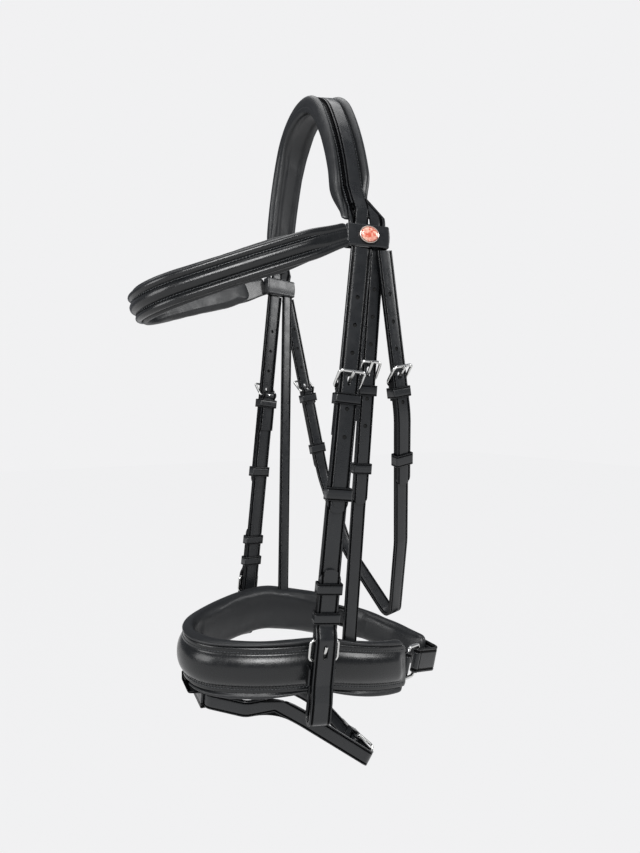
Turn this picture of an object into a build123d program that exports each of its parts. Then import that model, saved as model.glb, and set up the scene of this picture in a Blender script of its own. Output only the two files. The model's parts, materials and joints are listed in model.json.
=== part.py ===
"""Snaffle bridle: padded headpiece, browband, cheekpieces, throatlatch, crank noseband and flash strap.

The bridle hangs as on a horse's head.  +X points forward to the browband, +Y to the horse's left
(the near side) and +Z up.  The origin is the poll seat, under the middle of the headpiece padding.
"""
from build123d import *
import os
from math import atan2, cos, degrees, radians, sin, sqrt, tan

os.makedirs("parts", exist_ok=True)

# ---------------------------------------------------------------- driving dimensions (mm, degrees)
loop_drop = 160.0            # poll seat down to the middle of the browband loops
half_head = 102.0            # middle plane out to the browband loops
side_splay = 12.0            # the sides of the head open towards the rear
clearance = 0.3              # between pieces that move past each other

strap_width = 16.0
cheek_width = 19.5
strap_thickness = 2.8
narrow_width = 14.0          # noseband hanger and flash strap
hole_pitch = 25.4
hole_diameter = 4.0

wire_radius = 1.4            # buckle wire
frame_length = 20.0          # buckle frame, bar to bar
frame_side_gap = 2.2         # strap edge to the middle of a buckle's side wire
frame_corner = 3.4
tongue_width = 2.6
tongue_thickness = 1.8
tongue_eye_radius = wire_radius + 1.3
tongue_rise = degrees(atan2(wire_radius + tongue_thickness / 2 + 0.1, frame_length))
tilt_play = 8.0              # a buckle frame drops this far towards its strap
eye_leather = 2.0            # leather round a buckle's bar
eye_bore = wire_radius + 0.5

keeper_thickness = 1.8
keeper_length = 10.0
keeper_below_bar = 10.5
runner_length = 12.0

# headpiece
arch_foot = 14.0             # the ends stand upright up to here above the loops
arch_straight = 50.0         # then lean in up to here
arch_half = 85.0             # middle plane out to the sides at that height
crown_lean = 10.0            # lean of the sides where the crown's arc starts
crown_radius = 60.0
crown_width = 38.0
crown_forward = 6.0          # the crown sits a little in front of the loops
crown_leather = 20.4         # width of the leather between the rolls
headpiece_leather = 3.2
headpiece_padding = 10.0
padding_foot = 40.0          # the padding ends here above the loops
end_width = 35.0             # headpiece end inside a browband loop
end_rise = 24.0              # the wide end reaches this far above the upright part
end_inside = 9.0             # and this far below the middle of the loop
slot_drop = 19.0             # slot for the noseband headstrap, above the loop's middle
slot_height = 16.0
headstrap_shift = 5.0        # the noseband headstrap runs in front of the middle
headstrap_thickness = 2.6
headstrap_gap = 0.4          # behind the end leather
roll_width = 8.5
roll_height = 8.0            # rolls stand this far above the leather's inner face

# browband
band_height = 27.0
band_leather = 4.0
band_padding = 7.0
band_ridge_pitch = 9.0
band_ridge_width = 6.0
band_ridge = 1.6
pad_setback = 26.0           # the browband padding stops this far from the loops
band_front = 187.0
band_front_radius = 58.0
band_slope = 20.8            # the browband dips to the forehead
loop_width = 38.0
loop_height = 20.0
loop_leather = 2.4
rosette_width = 19.0
rosette_height = 16.0
rosette_rim = 1.2

# cheekpieces
cheek_offset = 4.4           # in front of the middle of the loop
cheek_lean = 5.9             # the cheek straps lean forward as they go down
cheek_turn = 6.0             # and a little inwards
billet_top = 10.8            # below the middle of the loop, where the billets hang free
billet_tip = 252.0
cheek_bar = 139.0            # buckle bar, below the middle of the loop
cheek_tilt = 46.0            # buckle frame stands off the strap
ridge_width = 10.6
ridge_height = 1.2
bit_radius = 4.2
bit_bar = 381.0
bit_drop = 55.0              # bottom of the fold that carries the bit ring, below the bar
bit_return = 79.0            # tip of the strap end that comes back up, above the bar
bit_return_run = 20.0        # straight above the fold
bit_knee = 25.0              # bend radius above the fold
bit_keeper_rise = 36.5       # keepers of the returning end, above the bar
bit_runner_rise = 62.0
bit_chape_length = 24.0
bit_band_drop = 14.5         # band of the thin chape, below the bar
bit_band_length = 14.0
bit_frame_length = 17.0
bit_frame_gap = 5.4          # the returning end lies this far out over its buckle
bit_tongue_rise = 25.0
bit_tongue_hole = 8.6        # above the bar
chape_width = 13.0
chape_length = 44.0          # turned-back layer below the cheek buckle

# throatlatch
throat_offset = -13.0
throat_tilt = 10.0           # the throatlatch hangs behind the cheeks
throat_bar = 133.0
throat_tip = 238.0
throat_frame_tilt = 46.0
throat_head = 12.3           # top of the throatlatch's billets, below the middle of the loop
throat_out = 6.6             # and outside the middle of the loops
throat_knee = (103.0, 165.0)     # side and drop below the loops, from the near side round
throat_jaw = (71.0, 300.0)
throat_low = (34.0, 404.0)
throat_far_jaw = (-54.0, 338.0)
throat_far_knee = (-89.0, 245.0)
throat_bend = 120.0
throat_low_radius = 16.0
throat_far_radius = 60.0
throat_far_bend = 100.0
throat_knee_run = 25.0       # the bent part of the near billet below its knee
throat_near_runner = 46.0
throat_far_runner = 198.0
throat_chape = 18.0

# noseband
nose_drop = 403.0            # below the middle of the loops
nose_slope = 15.2            # the rear of the noseband falls towards the chin
nose_middle = 5.0
nose_knee = 35.0             # in front of this it runs level
nose_knee_radius = 120.0
nose_height = 42.0
nose_leather = 3.0
nose_crown = 3.0
nose_padding = 9.0
nose_pad_height = 50.0
nose_half_width = 84.0
nose_front = 143.0
nose_front_radius = 52.0
nose_rear_end = -78.0
chin_height = 36.0
chin_thickness = 10.0
hanger_offset = -11.5        # behind the middle of the loop
hanger_foot_x = 5.0          # where the hanger reaches the noseband
hanger_foot_drop = 392.0
hanger_bar = 130.0
hanger_tip = 248.0
hanger_tilt = 36.0
hanger_chape = 40.0
hanger_runner_rise = 34.0    # above the billet's tip
pad_room = 60.0              # groove for the hanger in the noseband padding
crank_width = 25.0
crank_ring_height = 33.0
crank_wire = 1.7

# flash strap
flash_front = 126.0
flash_drop = 433.0           # below the middle of the loops, at the front
flash_front_half = 20.0
flash_side = 46.0            # middle plane out to its legs
flash_shoulder = 96.0
flash_corner = 12.0
flash_knee = (66.0, 6.0)     # place and fall of the bend down to the chin
flash_knee_radius = 85.0
flash_lap = 2.0              # the bent runs reach into the straight ones
flash_slope = 38.0           # behind the bend
flash_length = 127.0
flash_rear = 62.0            # near end of the run across under the chin
flash_far_rear = 58.0
flash_flare = 36.0
flash_flare_radius = 100.0
flash_far_radius = 24.0
flash_rear_radius = 9.0
flash_bar = 32.0             # buckle bar, from the middle plane
flash_tip = -6.0
flash_head = 30.0            # the billet's straight end, before the bar
flash_tilt = 30.0
flash_slot_play = 4.0
flash_chape = 26.0
flash_loop_width = 30.0
flash_loop_leather = 2.0
flash_tab_width = 24.0
flash_play = 0.5             # the flash strap's play in its loop, beyond the clearance

up = Vector(0, 0, 1)
loop_middle = Vector(0, half_head, -loop_drop)
forward = Vector(cos(radians(side_splay)), -sin(radians(side_splay)), 0)
outward = Vector(sin(radians(side_splay)), cos(radians(side_splay)), 0)


# ---------------------------------------------------------------- helpers
def save(part, name):
    """Label a finished piece and write it to its own file."""
    part.label = name
    export_step(part, f"parts/{name}.step")


def mirrored(part):
    """The same piece on the other side of the head."""
    with BuildPart() as copy:
        mirror(part, about=Plane.XZ)
    return copy.part


def save_pair(near_part, name):
    """Write a near-side piece and its mirror image on the far side."""
    save(near_part, f"near_{name}")
    save(mirrored(near_part), f"far_{name}")


def face_frame(origin, down, out):
    """Plane on a strap's face: x across the strap, y down along it, z out from the head."""
    down = down.normalized()
    out = (out - down * out.dot(down)).normalized()
    return Plane(origin=origin, x_dir=down.cross(out), z_dir=out)


def profile_frame(frame):
    """Plane through a strap's length: x out from the head, y down along the strap."""
    return Plane(origin=frame.origin, x_dir=frame.z_dir, z_dir=-frame.x_dir)


def shifted(frame, across=0.0, down=0.0, out=0.0):
    """The same face plane moved across, down and out."""
    origin = frame.origin + frame.x_dir * across + frame.y_dir * down + frame.z_dir * out
    return Plane(origin=origin, x_dir=frame.x_dir, z_dir=frame.z_dir)


def strap_blank(frame, inner, thickness, width, top, tip):
    """A flat strap with a rounded tip, drawn on its face and extruded outwards."""
    with BuildPart() as blank:
        with BuildSketch(shifted(frame, out=inner)):
            with Locations((0, (top + tip - width / 2) / 2)):
                Rectangle(width, tip - width / 2 - top)
            with Locations((0, tip - width / 2)):
                Circle(width / 2)
        extrude(amount=thickness)
    return blank.part


def strap_holes(frame, places, depth):
    """Round punched holes through a strap, to be cut from it."""
    with BuildPart() as holes:
        with BuildSketch(shifted(frame, out=-depth)):
            with Locations(*[(0, place) for place in places]):
                Circle(hole_diameter / 2)
        extrude(amount=2 * depth)
    return holes.part


def wire_ring(plane, width, length, radius, corner):
    """A closed rectangular wire with rounded corners; local x is width, y is length."""
    with BuildPart() as ring:
        with BuildSketch(plane, mode=Mode.PRIVATE) as outline:
            RectangleRounded(width, length, corner)
        path = outline.sketch.faces()[0].outer_wire()
        start = path @ 0
        with BuildSketch(Plane(origin=start, z_dir=path % 0)):
            Circle(radius)
        sweep(path=path)
    return ring.part


def buckle_plane(frame, bar_down, bar_out, tilt):
    """Plane of a buckle frame: origin on its bar, y towards its front wire, tilted off the strap."""
    away = -frame.y_dir * cos(radians(tilt)) + frame.z_dir * sin(radians(tilt))
    origin = frame.origin + frame.y_dir * bar_down + frame.z_dir * bar_out
    return Plane(origin=origin, x_dir=frame.x_dir, z_dir=frame.x_dir.cross(away))


def buckle_frame(plane, strap, length=frame_length):
    """Wire frame of a buckle for a strap of this width."""
    middle = Plane(origin=plane.origin + plane.y_dir * length / 2,
                   x_dir=plane.x_dir, z_dir=plane.z_dir)
    return wire_ring(middle, strap + 2 * frame_side_gap, length, wire_radius, frame_corner)


def buckle_tongue(plane, prong=frame_length + 2.0, rise=tongue_rise):
    """Tongue with an eye round the bar and a prong that climbs by the angle rise."""
    rest = Vector(cos(radians(rise)), sin(radians(rise)))
    side = Plane(origin=plane.origin, x_dir=plane.y_dir * rest.X - plane.z_dir * rest.Y,
                 z_dir=plane.x_dir)
    with BuildPart() as tongue:
        with BuildSketch(side):
            Circle(tongue_eye_radius)
            with Locations((prong / 2, 0)):
                Rectangle(prong, tongue_thickness)
            Circle(wire_radius + 0.25, mode=Mode.SUBTRACT)
        extrude(amount=tongue_width / 2, both=True)
    return tongue.part


def keeper_ring(frame, middle, inner, outer, width, length, leather=keeper_thickness):
    """Flat leather loop round a stack of straps: middle is its place down the strap."""
    section = Plane(origin=frame.origin + frame.y_dir * middle, x_dir=frame.x_dir,
                    z_dir=frame.y_dir)
    with BuildPart() as ring:
        with BuildSketch(section):
            with Locations((0, -(outer + inner) / 2)):
                RectangleRounded(width + 2 * (clearance + leather),
                                 outer - inner + 2 * (clearance + leather), leather * 0.8)
                Rectangle(width + 2 * clearance, outer - inner + 2 * clearance,
                          mode=Mode.SUBTRACT)
        extrude(amount=length / 2, both=True)
    return ring.part


def chape_eye(frame, bar_down, bar_out, width):
    """Rolled leather round a buckle's bar, and what is cut from it: the bore and tongue slot."""
    side = profile_frame(shifted(frame, down=bar_down, out=bar_out))
    radius = eye_bore + eye_leather
    with BuildPart() as eye:
        with BuildSketch(side):
            Circle(radius)
        extrude(amount=width / 2, both=True)
    with BuildPart() as cut:
        with BuildSketch(side):
            Circle(eye_bore)
        extrude(amount=width, both=True)
        with BuildSketch(side):
            Circle(tongue_eye_radius + clearance)
            with Locations((0, -radius / 2)):
                Rectangle(2 * radius + 1, radius + 1)
        extrude(amount=tongue_width / 2 + 0.8, both=True)
    return eye.part, cut.part


def chape_strap(frame, bar_down, face, thickness, width, turn_length):
    """Top of a strap that carries a buckle: eye and turned-back layer behind its face."""
    radius = eye_bore + eye_leather
    eye, cut = chape_eye(frame, bar_down, face - radius, width)
    with BuildPart() as top:
        add(eye)
        with BuildSketch(shifted(frame, out=face - 2 * thickness)):
            with Locations((0, bar_down + turn_length / 2)):
                Rectangle(width, turn_length)
        extrude(amount=2 * thickness)
    return top.part, cut


def parallel(points, distance):
    """Open outline moved to its left by a distance, corner by corner."""
    moved = []
    for index, point in enumerate(points):
        here = Vector(*point)
        ways = []
        if index > 0:
            ways.append((here - Vector(*points[index - 1])).normalized())
        if index < len(points) - 1:
            ways.append((Vector(*points[index + 1]) - here).normalized())
        lefts = [Vector(-way.Y, way.X) for way in ways]
        middle = (lefts[0] + lefts[-1]).normalized()
        corner = here + middle * (distance / middle.dot(lefts[0]))
        moved.append((corner.X, corner.Y))
    return moved


def u_curve_arcs(start, inward, front, front_radius):
    """Side arc and front arc of a half U that ends square to the middle plane at its front.

    Returns (centre, radius, start angle, end angle) for both, in degrees.
    """
    normal = Vector(-sin(radians(inward)), -cos(radians(inward)))
    front_centre = Vector(front - front_radius, 0)
    gap = Vector(*start) - front_centre
    side_radius = (front_radius ** 2 - gap.dot(gap)) / (2 * (normal.dot(gap) + front_radius))
    side_centre = Vector(*start) + normal * side_radius
    joint = front_centre - side_centre
    meet = degrees(atan2(joint.Y, joint.X))
    begin = degrees(atan2(start[1] - side_centre.Y, start[0] - side_centre.X))
    return [(side_centre, side_radius, begin, meet), (front_centre, front_radius, meet, 0.0)]


def draw_u(curve, shift=0.0, tail=0.0, rear_turn=0.0):
    """Draw a U in the current line, moved outwards by shift.

    tail adds straight ends and rear_turn carries the side arcs on by an angle.
    """
    start, inward = curve[0], curve[1]
    side, nose = u_curve_arcs(*curve)
    for hand in (1, -1):
        centre, radius, begin, end = side
        CenterArc((centre.X, hand * centre.Y), radius + shift, hand * (begin + rear_turn),
                  hand * (end - begin - rear_turn))
        if tail:
            near = Vector(start[0] + shift * sin(radians(inward)),
                          start[1] + shift * cos(radians(inward)))
            back = near + Vector(-cos(radians(inward)), sin(radians(inward))) * tail
            Line((near.X, hand * near.Y), (back.X, hand * back.Y))
    centre, radius, meet, _ = nose
    CenterArc((centre.X, 0), radius + shift, -meet, 2 * meet)


def u_band(plane, curve, shift, thickness, height, lift=0.0, tail=0.0, rear_turn=0.0):
    """A strap bent along a U, standing across the plane; lift moves it off the plane's middle."""
    middle = Plane(origin=plane.origin + plane.z_dir * lift, x_dir=plane.x_dir, z_dir=plane.z_dir)
    with BuildPart() as band:
        with BuildSketch(middle):
            with BuildLine():
                draw_u(curve, shift, tail, rear_turn)
            trace(line_width=thickness)
        extrude(amount=height / 2, both=True)
    return band.part


def path_band(plane, points, radii, thickness, width):
    """A strap along straight runs and tangent arcs, standing across the plane."""
    with BuildPart() as band:
        with BuildSketch(plane):
            with BuildLine():
                FilletPolyline(*points, radius=radii)
            trace(line_width=thickness)
        extrude(amount=width / 2, both=True)
    return band.part



def straight_band(plane, begin, finish, thickness, width):
    """A straight strap standing across the plane between two points of its middle line."""
    with BuildPart() as band:
        with BuildSketch(plane):
            with BuildLine():
                Line(begin, finish)
            trace(line_width=thickness)
        extrude(amount=width / 2, both=True)
    return band.part


def on_plane(plane, x, y):
    """Point of a plane from its local coordinates."""
    return plane.origin + plane.x_dir * x + plane.y_dir * y


def slot_cut(frame, bar, thickness, tilt, play):
    """Long hole that a tongue needs to pass through the strap that lies over its bar."""
    depth = clearance + eye_bore + eye_leather
    steep = radians(tilt + tongue_rise)
    flat = radians(tilt + tongue_rise - play)
    margin = tongue_thickness / 2 / sin(flat) + 0.6
    low = bar - depth / tan(steep) + margin
    high = bar - (depth + thickness) / tan(flat) - margin
    with BuildPart() as cut:
        with BuildSketch(shifted(frame, down=(low + high) / 2, out=-1.0)):
            SlotOverall(low - high, tongue_width + 1.6, rotation=90)
        extrude(amount=thickness + 2.0)
    return cut.part, (low + high) / 2


def billet(frame, thickness, width, top, tip, bar, tilt, holes_above, holes_below, ridge=0.0):
    """Strap end with punched holes and, where it has one, a raised middle."""
    slot, worn_hole = slot_cut(frame, bar, thickness + ridge, tilt, tilt_play)
    places = [worn_hole + hole_pitch * step
              for step in range(-holes_above, holes_below + 1) if step]
    with BuildPart() as strap:
        add(strap_blank(frame, 0.0, thickness, width, top, tip))
        if ridge:
            add(strap_blank(frame, thickness, ridge, ridge_width, top + 6.0, tip - 5.0))
        add(strap_holes(frame, places, 3 * thickness), mode=Mode.SUBTRACT)
        add(slot, mode=Mode.SUBTRACT)
    return strap.part


# ---------------------------------------------------------------- headpiece
arch_lean = (half_head - arch_half) / (arch_straight - arch_foot)
arch_top = loop_drop + headpiece_padding + clearance
arch_curve = ((arch_straight, arch_half), crown_lean, arch_top, crown_radius)
loop_frame = face_frame(loop_middle, -up, outward)


def draw_arch(shift, foot):
    """Draw the headpiece's outline, moved outwards by shift, down to foot above the loops."""
    side, crown = u_curve_arcs(*arch_curve)
    centre, radius, begin, meet = side
    foot_half = half_head - (foot - arch_foot) * arch_lean + shift
    head = Vector(arch_straight + shift * sin(radians(crown_lean)),
                  arch_half + shift * cos(radians(crown_lean)))
    for hand in (1, -1):
        Line((foot, hand * foot_half), (head.X, hand * head.Y))
        CenterArc((centre.X, hand * centre.Y), radius + shift, hand * begin,
                  hand * (meet - begin))
    crown_centre, crown_arc, _, _ = crown
    CenterArc((crown_centre.X, 0), crown_arc + shift, -meet, 2 * meet)
    return foot_half


def arch_band(inner, outer, middle, width, foot):
    """A band over the poll that opens towards the rear as the sides of the head do."""
    with BuildPart() as band:
        for x in (middle - width / 2, middle + width / 2):
            with BuildSketch(Plane(origin=(x, 0, -loop_drop), x_dir=(0, 0, 1), z_dir=(1, 0, 0))):
                with BuildLine():
                    inner_half = draw_arch(inner - x * tan(radians(side_splay)), foot)
                    outer_half = draw_arch(outer - x * tan(radians(side_splay)), foot)
                    Line((foot, inner_half), (foot, outer_half))
                    Line((foot, -inner_half), (foot, -outer_half))
                make_face()
        loft(ruled=True)
    return band.part


side_lean = arch_lean * cos(radians(side_splay))
end_middle = headpiece_leather / 2
end_points = [(end_middle, end_inside), (end_middle, -arch_foot),
              (end_middle - end_rise * side_lean, -arch_foot - end_rise)]
with BuildPart() as end_leather:
    add(path_band(profile_frame(loop_frame), end_points, [20.0], headpiece_leather, end_width))
slot_out = -(slot_drop - arch_foot) * side_lean
with BuildPart() as end_slot:
    with BuildSketch(shifted(loop_frame, across=headstrap_shift, down=-slot_drop, out=slot_out)):
        RectangleRounded(narrow_width + 2.4, slot_height, 2.0)
    extrude(amount=12.0, both=True)
with BuildPart() as headpiece:
    add(arch_band(0.0, headpiece_leather, crown_forward, crown_leather, arch_foot + 6.0))
    add(end_leather.part)
    add(mirrored(end_leather.part))
    add(end_slot.part, mode=Mode.SUBTRACT)
    add(mirrored(end_slot.part), mode=Mode.SUBTRACT)
save(headpiece.part, "headpiece")

# padding with a roll along each edge, standing proud of the leather
roll_side = crown_width / 2 - roll_width / 2
padding_inner = -clearance - headpiece_padding
with BuildPart() as padding:
    add(arch_band(padding_inner, -clearance, crown_forward, crown_width, padding_foot))
    for lift in (-roll_side, roll_side):
        add(arch_band(padding_inner, roll_height, crown_forward + lift, roll_width,
                      padding_foot))
save(padding.part, "headpiece_padding")

# noseband headstrap over the poll, down through the slots and in behind the ends
strap_inner = headpiece_leather + clearance
strap_out = strap_inner + headstrap_thickness / 2 + 0.1
behind = -headstrap_gap - headstrap_thickness / 2
slot_low = slot_drop - slot_height / 2
slot_high = slot_drop + slot_height / 2
strap_points = [(behind, -1.0), (behind, -slot_low - 2.5),
                (strap_out - (slot_high - 2.5 - arch_foot) * side_lean, -slot_high + 2.5),
                (strap_out - (slot_high + 10.0 - arch_foot) * side_lean, -slot_high - 10.0)]
with BuildPart() as strap_end:
    add(path_band(profile_frame(shifted(loop_frame, across=headstrap_shift)), strap_points,
                  [5.0, 5.0], headstrap_thickness, narrow_width))
with BuildPart() as headstrap:
    add(arch_band(strap_inner, strap_inner + headstrap_thickness, headstrap_shift + 1.0,
                  narrow_width, slot_high + 4.0))
    add(strap_end.part)
    add(mirrored(strap_end.part))
save(headstrap.part, "noseband_headstrap")

# ---------------------------------------------------------------- browband
loop_inner = -headstrap_gap - headstrap_thickness - 1.2
loop_outer = headpiece_leather + 0.2
loop_ring = keeper_ring(loop_frame, 0.0, loop_inner, loop_outer, loop_width, loop_height,
                        leather=loop_leather)
with BuildPart() as loop_space:
    with BuildSketch(shifted(loop_frame, out=loop_inner - clearance)):
        Rectangle(loop_width + 2 * clearance, 2 * loop_height)
    extrude(amount=loop_outer - loop_inner + 2 * clearance)
loop_room = loop_space.part
band_start = loop_frame.origin + forward * (loop_width / 2) + outward * (
    loop_outer + clearance + loop_leather - band_leather / 2)
band_plane = Plane(origin=(band_start.X, 0, -loop_drop),
                   x_dir=(cos(radians(band_slope)), 0, -sin(radians(band_slope))),
                   z_dir=(sin(radians(band_slope)), 0, cos(radians(band_slope))))
band_reach = (band_front - band_start.X) / cos(radians(band_slope))
band_curve = ((0.0, band_start.Y), side_splay, band_reach, band_front_radius)
with BuildPart() as browband:
    add(u_band(band_plane, band_curve, 0.0, band_leather, band_height, tail=1.0))
    add(loop_room, mode=Mode.SUBTRACT)
    add(mirrored(loop_room), mode=Mode.SUBTRACT)
    for lift in (-band_ridge_pitch, 0.0, band_ridge_pitch):
        add(u_band(band_plane, band_curve, band_leather / 2 + band_ridge / 2, band_ridge,
                   band_ridge_width, lift=lift))
    add(loop_ring)
    add(mirrored(loop_ring))
save(browband.part, "browband")
with BuildPart() as browband_padding:
    add(u_band(band_plane, band_curve, -band_leather / 2 - band_padding / 2, band_padding,
               band_height + 4.0))
    with Locations((band_start.X, 0, -loop_drop)):
        Box(2 * pad_setback, 3 * half_head, loop_drop, mode=Mode.SUBTRACT)
save(browband_padding.part, "browband_padding")

# rosettes on the outer faces of the loops
rosette_frame = shifted(loop_frame, out=loop_outer + clearance + loop_leather)
inlay_width = rosette_width / 2 - rosette_rim
inlay_height = rosette_height / 2 - rosette_rim
with BuildPart() as bezel:
    with BuildSketch(rosette_frame):
        Ellipse(rosette_width / 2, rosette_height / 2)
        Ellipse(inlay_width, inlay_height, mode=Mode.SUBTRACT)
    extrude(amount=2.4)
    with BuildSketch(rosette_frame):
        Ellipse(inlay_width, inlay_height)
    extrude(amount=0.8)
with BuildPart() as inlay:
    with BuildSketch(shifted(rosette_frame, out=0.8)):
        Ellipse(inlay_width, inlay_height)
    extrude(amount=1.5)
save_pair(bezel.part, "rosette_bezel")
save_pair(inlay.part, "rosette_inlay")

# ---------------------------------------------------------------- cheeks
cheek_way = Vector(cos(radians(cheek_turn)), -sin(radians(cheek_turn)), 0)
cheek_down = (-up) * cos(radians(cheek_lean)) + cheek_way * sin(radians(cheek_lean))
cheek_frame = face_frame(loop_middle + forward * cheek_offset, cheek_down, outward)
save_pair(billet(cheek_frame, strap_thickness, cheek_width, billet_top, billet_tip, cheek_bar,
                 cheek_tilt, 3, 2, ridge=ridge_height), "cheek_billet")

strap_face = -clearance                         # outer face of the strap behind the billet
return_face = bit_frame_gap                     # inner face of the returning end at its buckle
inner_middle = strap_face - strap_thickness / 2
bight = inner_middle + 2 * bit_radius + strap_thickness
bit_return_tip = bit_bar - bit_return
bottom = bit_bar + bit_drop - strap_thickness / 2
bend = bit_radius + strap_thickness / 2
buckled_middle = return_face + strap_thickness / 2
tip_middle = strap_thickness / 2 + 0.2
bit_path = [(inner_middle, cheek_bar), (inner_middle, bottom), (bight, bottom),
            (bight, bottom - bit_return_run), (buckled_middle, bottom - bit_return_run - 14.0),
            (buckled_middle, bit_bar - bit_frame_length - 3.0),
            (tip_middle, bit_bar - bit_frame_length - 10.8),
            (tip_middle, bit_return_tip + cheek_width / 2)]
bit_radii = [bend - 0.05, bend - 0.05, bit_knee, bit_knee, bit_knee / 2.5, bit_knee / 2.5]
chape, chape_cut = chape_strap(cheek_frame, cheek_bar, strap_face, strap_thickness, cheek_width,
                               chape_length)
bit_hole = bit_bar - bit_tongue_hole
with BuildPart() as cheekpiece:
    add(path_band(profile_frame(cheek_frame), bit_path, bit_radii, strap_thickness, cheek_width))
    add(chape)
    add(chape_cut, mode=Mode.SUBTRACT)
    with BuildSketch(shifted(cheek_frame, out=0.2)):
        with Locations((0, bit_return_tip + cheek_width / 2)):
            Circle(cheek_width / 2)
    extrude(amount=strap_thickness)
    with BuildSketch(shifted(cheek_frame, down=bit_hole, out=return_face - 1.0)):
        SlotOverall(12.4, tongue_width + 1.6, rotation=90)
    extrude(amount=strap_thickness + 2.0, mode=Mode.SUBTRACT)
save_pair(cheekpiece.part, "cheekpiece")

chape_depth = 2 * strap_thickness
cheek_buckle = buckle_plane(cheek_frame, cheek_bar, strap_face - eye_bore - eye_leather,
                            cheek_tilt)
save_pair(buckle_frame(cheek_buckle, cheek_width), "cheek_buckle")
save_pair(buckle_tongue(cheek_buckle), "cheek_tongue")
billet_outer = strap_thickness + ridge_height
save_pair(keeper_ring(cheek_frame, cheek_bar + keeper_below_bar, strap_face - chape_depth,
                      billet_outer, cheek_width, keeper_length), "cheek_keeper")
save_pair(keeper_ring(cheek_frame, billet_tip - 17.0, strap_face - strap_thickness, billet_outer,
                      cheek_width, runner_length), "cheek_runner")

# bit end: buckle held by a thin chape under the returning end
bit_wire_out = (strap_face + return_face) / 2
bit_buckle = buckle_plane(cheek_frame, bit_bar, bit_wire_out, 0.0)
save_pair(buckle_frame(bit_buckle, cheek_width + 1.5, bit_frame_length), "bit_buckle")
save_pair(buckle_tongue(bit_buckle, prong=15.5, rise=bit_tongue_rise), "bit_tongue")
bit_eye = eye_bore - 0.3
with BuildPart() as bit_chape:
    with BuildSketch(profile_frame(shifted(cheek_frame, down=bit_bar, out=bit_wire_out))):
        Circle((return_face - strap_face) / 2 - 0.15)
    extrude(amount=chape_width / 2, both=True)
    with BuildSketch(shifted(cheek_frame, down=bit_bar, out=strap_face)):
        with Locations((0, bit_chape_length / 2)):
            Rectangle(chape_width, bit_chape_length)
    extrude(amount=bit_wire_out - strap_face)
    add(keeper_ring(cheek_frame, bit_bar + bit_band_drop, strap_face - strap_thickness,
                    bit_wire_out - 0.4, cheek_width + 1.6, bit_band_length, leather=1.6))
    with BuildSketch(profile_frame(shifted(cheek_frame, down=bit_bar, out=bit_wire_out))):
        Circle(bit_eye)
    extrude(amount=cheek_width, both=True, mode=Mode.SUBTRACT)
    with BuildSketch(profile_frame(shifted(cheek_frame, down=bit_bar, out=bit_wire_out))):
        Circle(tongue_eye_radius + clearance)
    extrude(amount=tongue_width / 2 + 0.6, both=True, mode=Mode.SUBTRACT)
save_pair(bit_chape.part, "bit_chape")
save_pair(keeper_ring(cheek_frame, bit_bar - bit_keeper_rise, strap_face - strap_thickness,
                      tip_middle + strap_thickness / 2, cheek_width, keeper_length),
          "bit_keeper")
save_pair(keeper_ring(cheek_frame, bit_bar - bit_runner_rise, strap_face - strap_thickness,
                      tip_middle + strap_thickness / 2, cheek_width, keeper_length),
          "bit_runner")

# ---------------------------------------------------------------- throatlatch
throat_start = loop_middle + forward * throat_offset
throat_plane = Plane(origin=(throat_start.X, 0, -loop_drop), x_dir=(0, 1, 0),
                     z_dir=(cos(radians(throat_tilt)), 0, -sin(radians(throat_tilt))))
throat_top_side = half_head + throat_out
throat_corners = [throat_knee, throat_jaw, throat_low, throat_far_jaw, throat_far_knee]
throat_line = [(side, -drop) for side, drop in
               [(throat_top_side, throat_head), *throat_corners,
                (-throat_top_side, throat_head)]]
throat_radii = [throat_bend, throat_bend, throat_low_radius, throat_far_radius, throat_far_bend]
layer_step = strap_thickness + clearance
inner_line = parallel(throat_line, -layer_step)
inner_radii = [radius - layer_step for radius in throat_radii]


def partway(begin, finish, height):
    """Point between two points of the throatlatch line at a given height."""
    share = (height - begin[1]) / (finish[1] - begin[1])
    return (begin[0] + (finish[0] - begin[0]) * share, height)


near_bar = partway(inner_line[0], inner_line[1], -throat_bar)
far_bar = partway(inner_line[-1], inner_line[-2], -throat_bar)
throat_path = [near_bar] + inner_line[1:-1] + [far_bar]


def throat_frame(begin, finish, side):
    """Face frame along a straight run of the throatlatch, on the billet's inner face."""
    head = on_plane(throat_plane, *begin)
    way = on_plane(throat_plane, *finish) - head
    out = Vector(0, side, 0)
    frame = face_frame(head, way, out)
    return shifted(frame, out=-strap_thickness / 2)


near_throat = throat_frame(throat_line[0], throat_line[1], 1)
near_lower = throat_frame(throat_line[1], throat_line[2], 1)
far_throat = throat_frame(throat_line[-1], throat_line[-2], -1)
bar_down = throat_bar - throat_head
near_slot, worn_hole = slot_cut(near_throat, bar_down, strap_thickness, throat_frame_tilt,
                                tilt_play)
knee_low = -throat_knee[1] - throat_knee_run
knee = path_band(throat_plane, [throat_line[0], throat_line[1],
                                partway(throat_line[1], throat_line[2], knee_low)],
                 [throat_bend], strap_thickness, strap_width)
holes = [worn_hole + hole_pitch * step for step in (-3, -2, -1, 1)]
with BuildPart() as near_throat_billet:
    add(knee)
    add(strap_blank(near_lower, 0.0, strap_thickness, strap_width,
                    throat_knee_run - 5.0, throat_tip - throat_knee[1]))
    add(strap_holes(near_throat, holes, 8.0), mode=Mode.SUBTRACT)
    add(near_slot, mode=Mode.SUBTRACT)
save(near_throat_billet.part, "near_throat_billet")
save(billet(far_throat, strap_thickness, strap_width, 0.0, throat_tip - throat_head, bar_down,
            throat_frame_tilt, 3, 2), "far_throat_billet")

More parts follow.
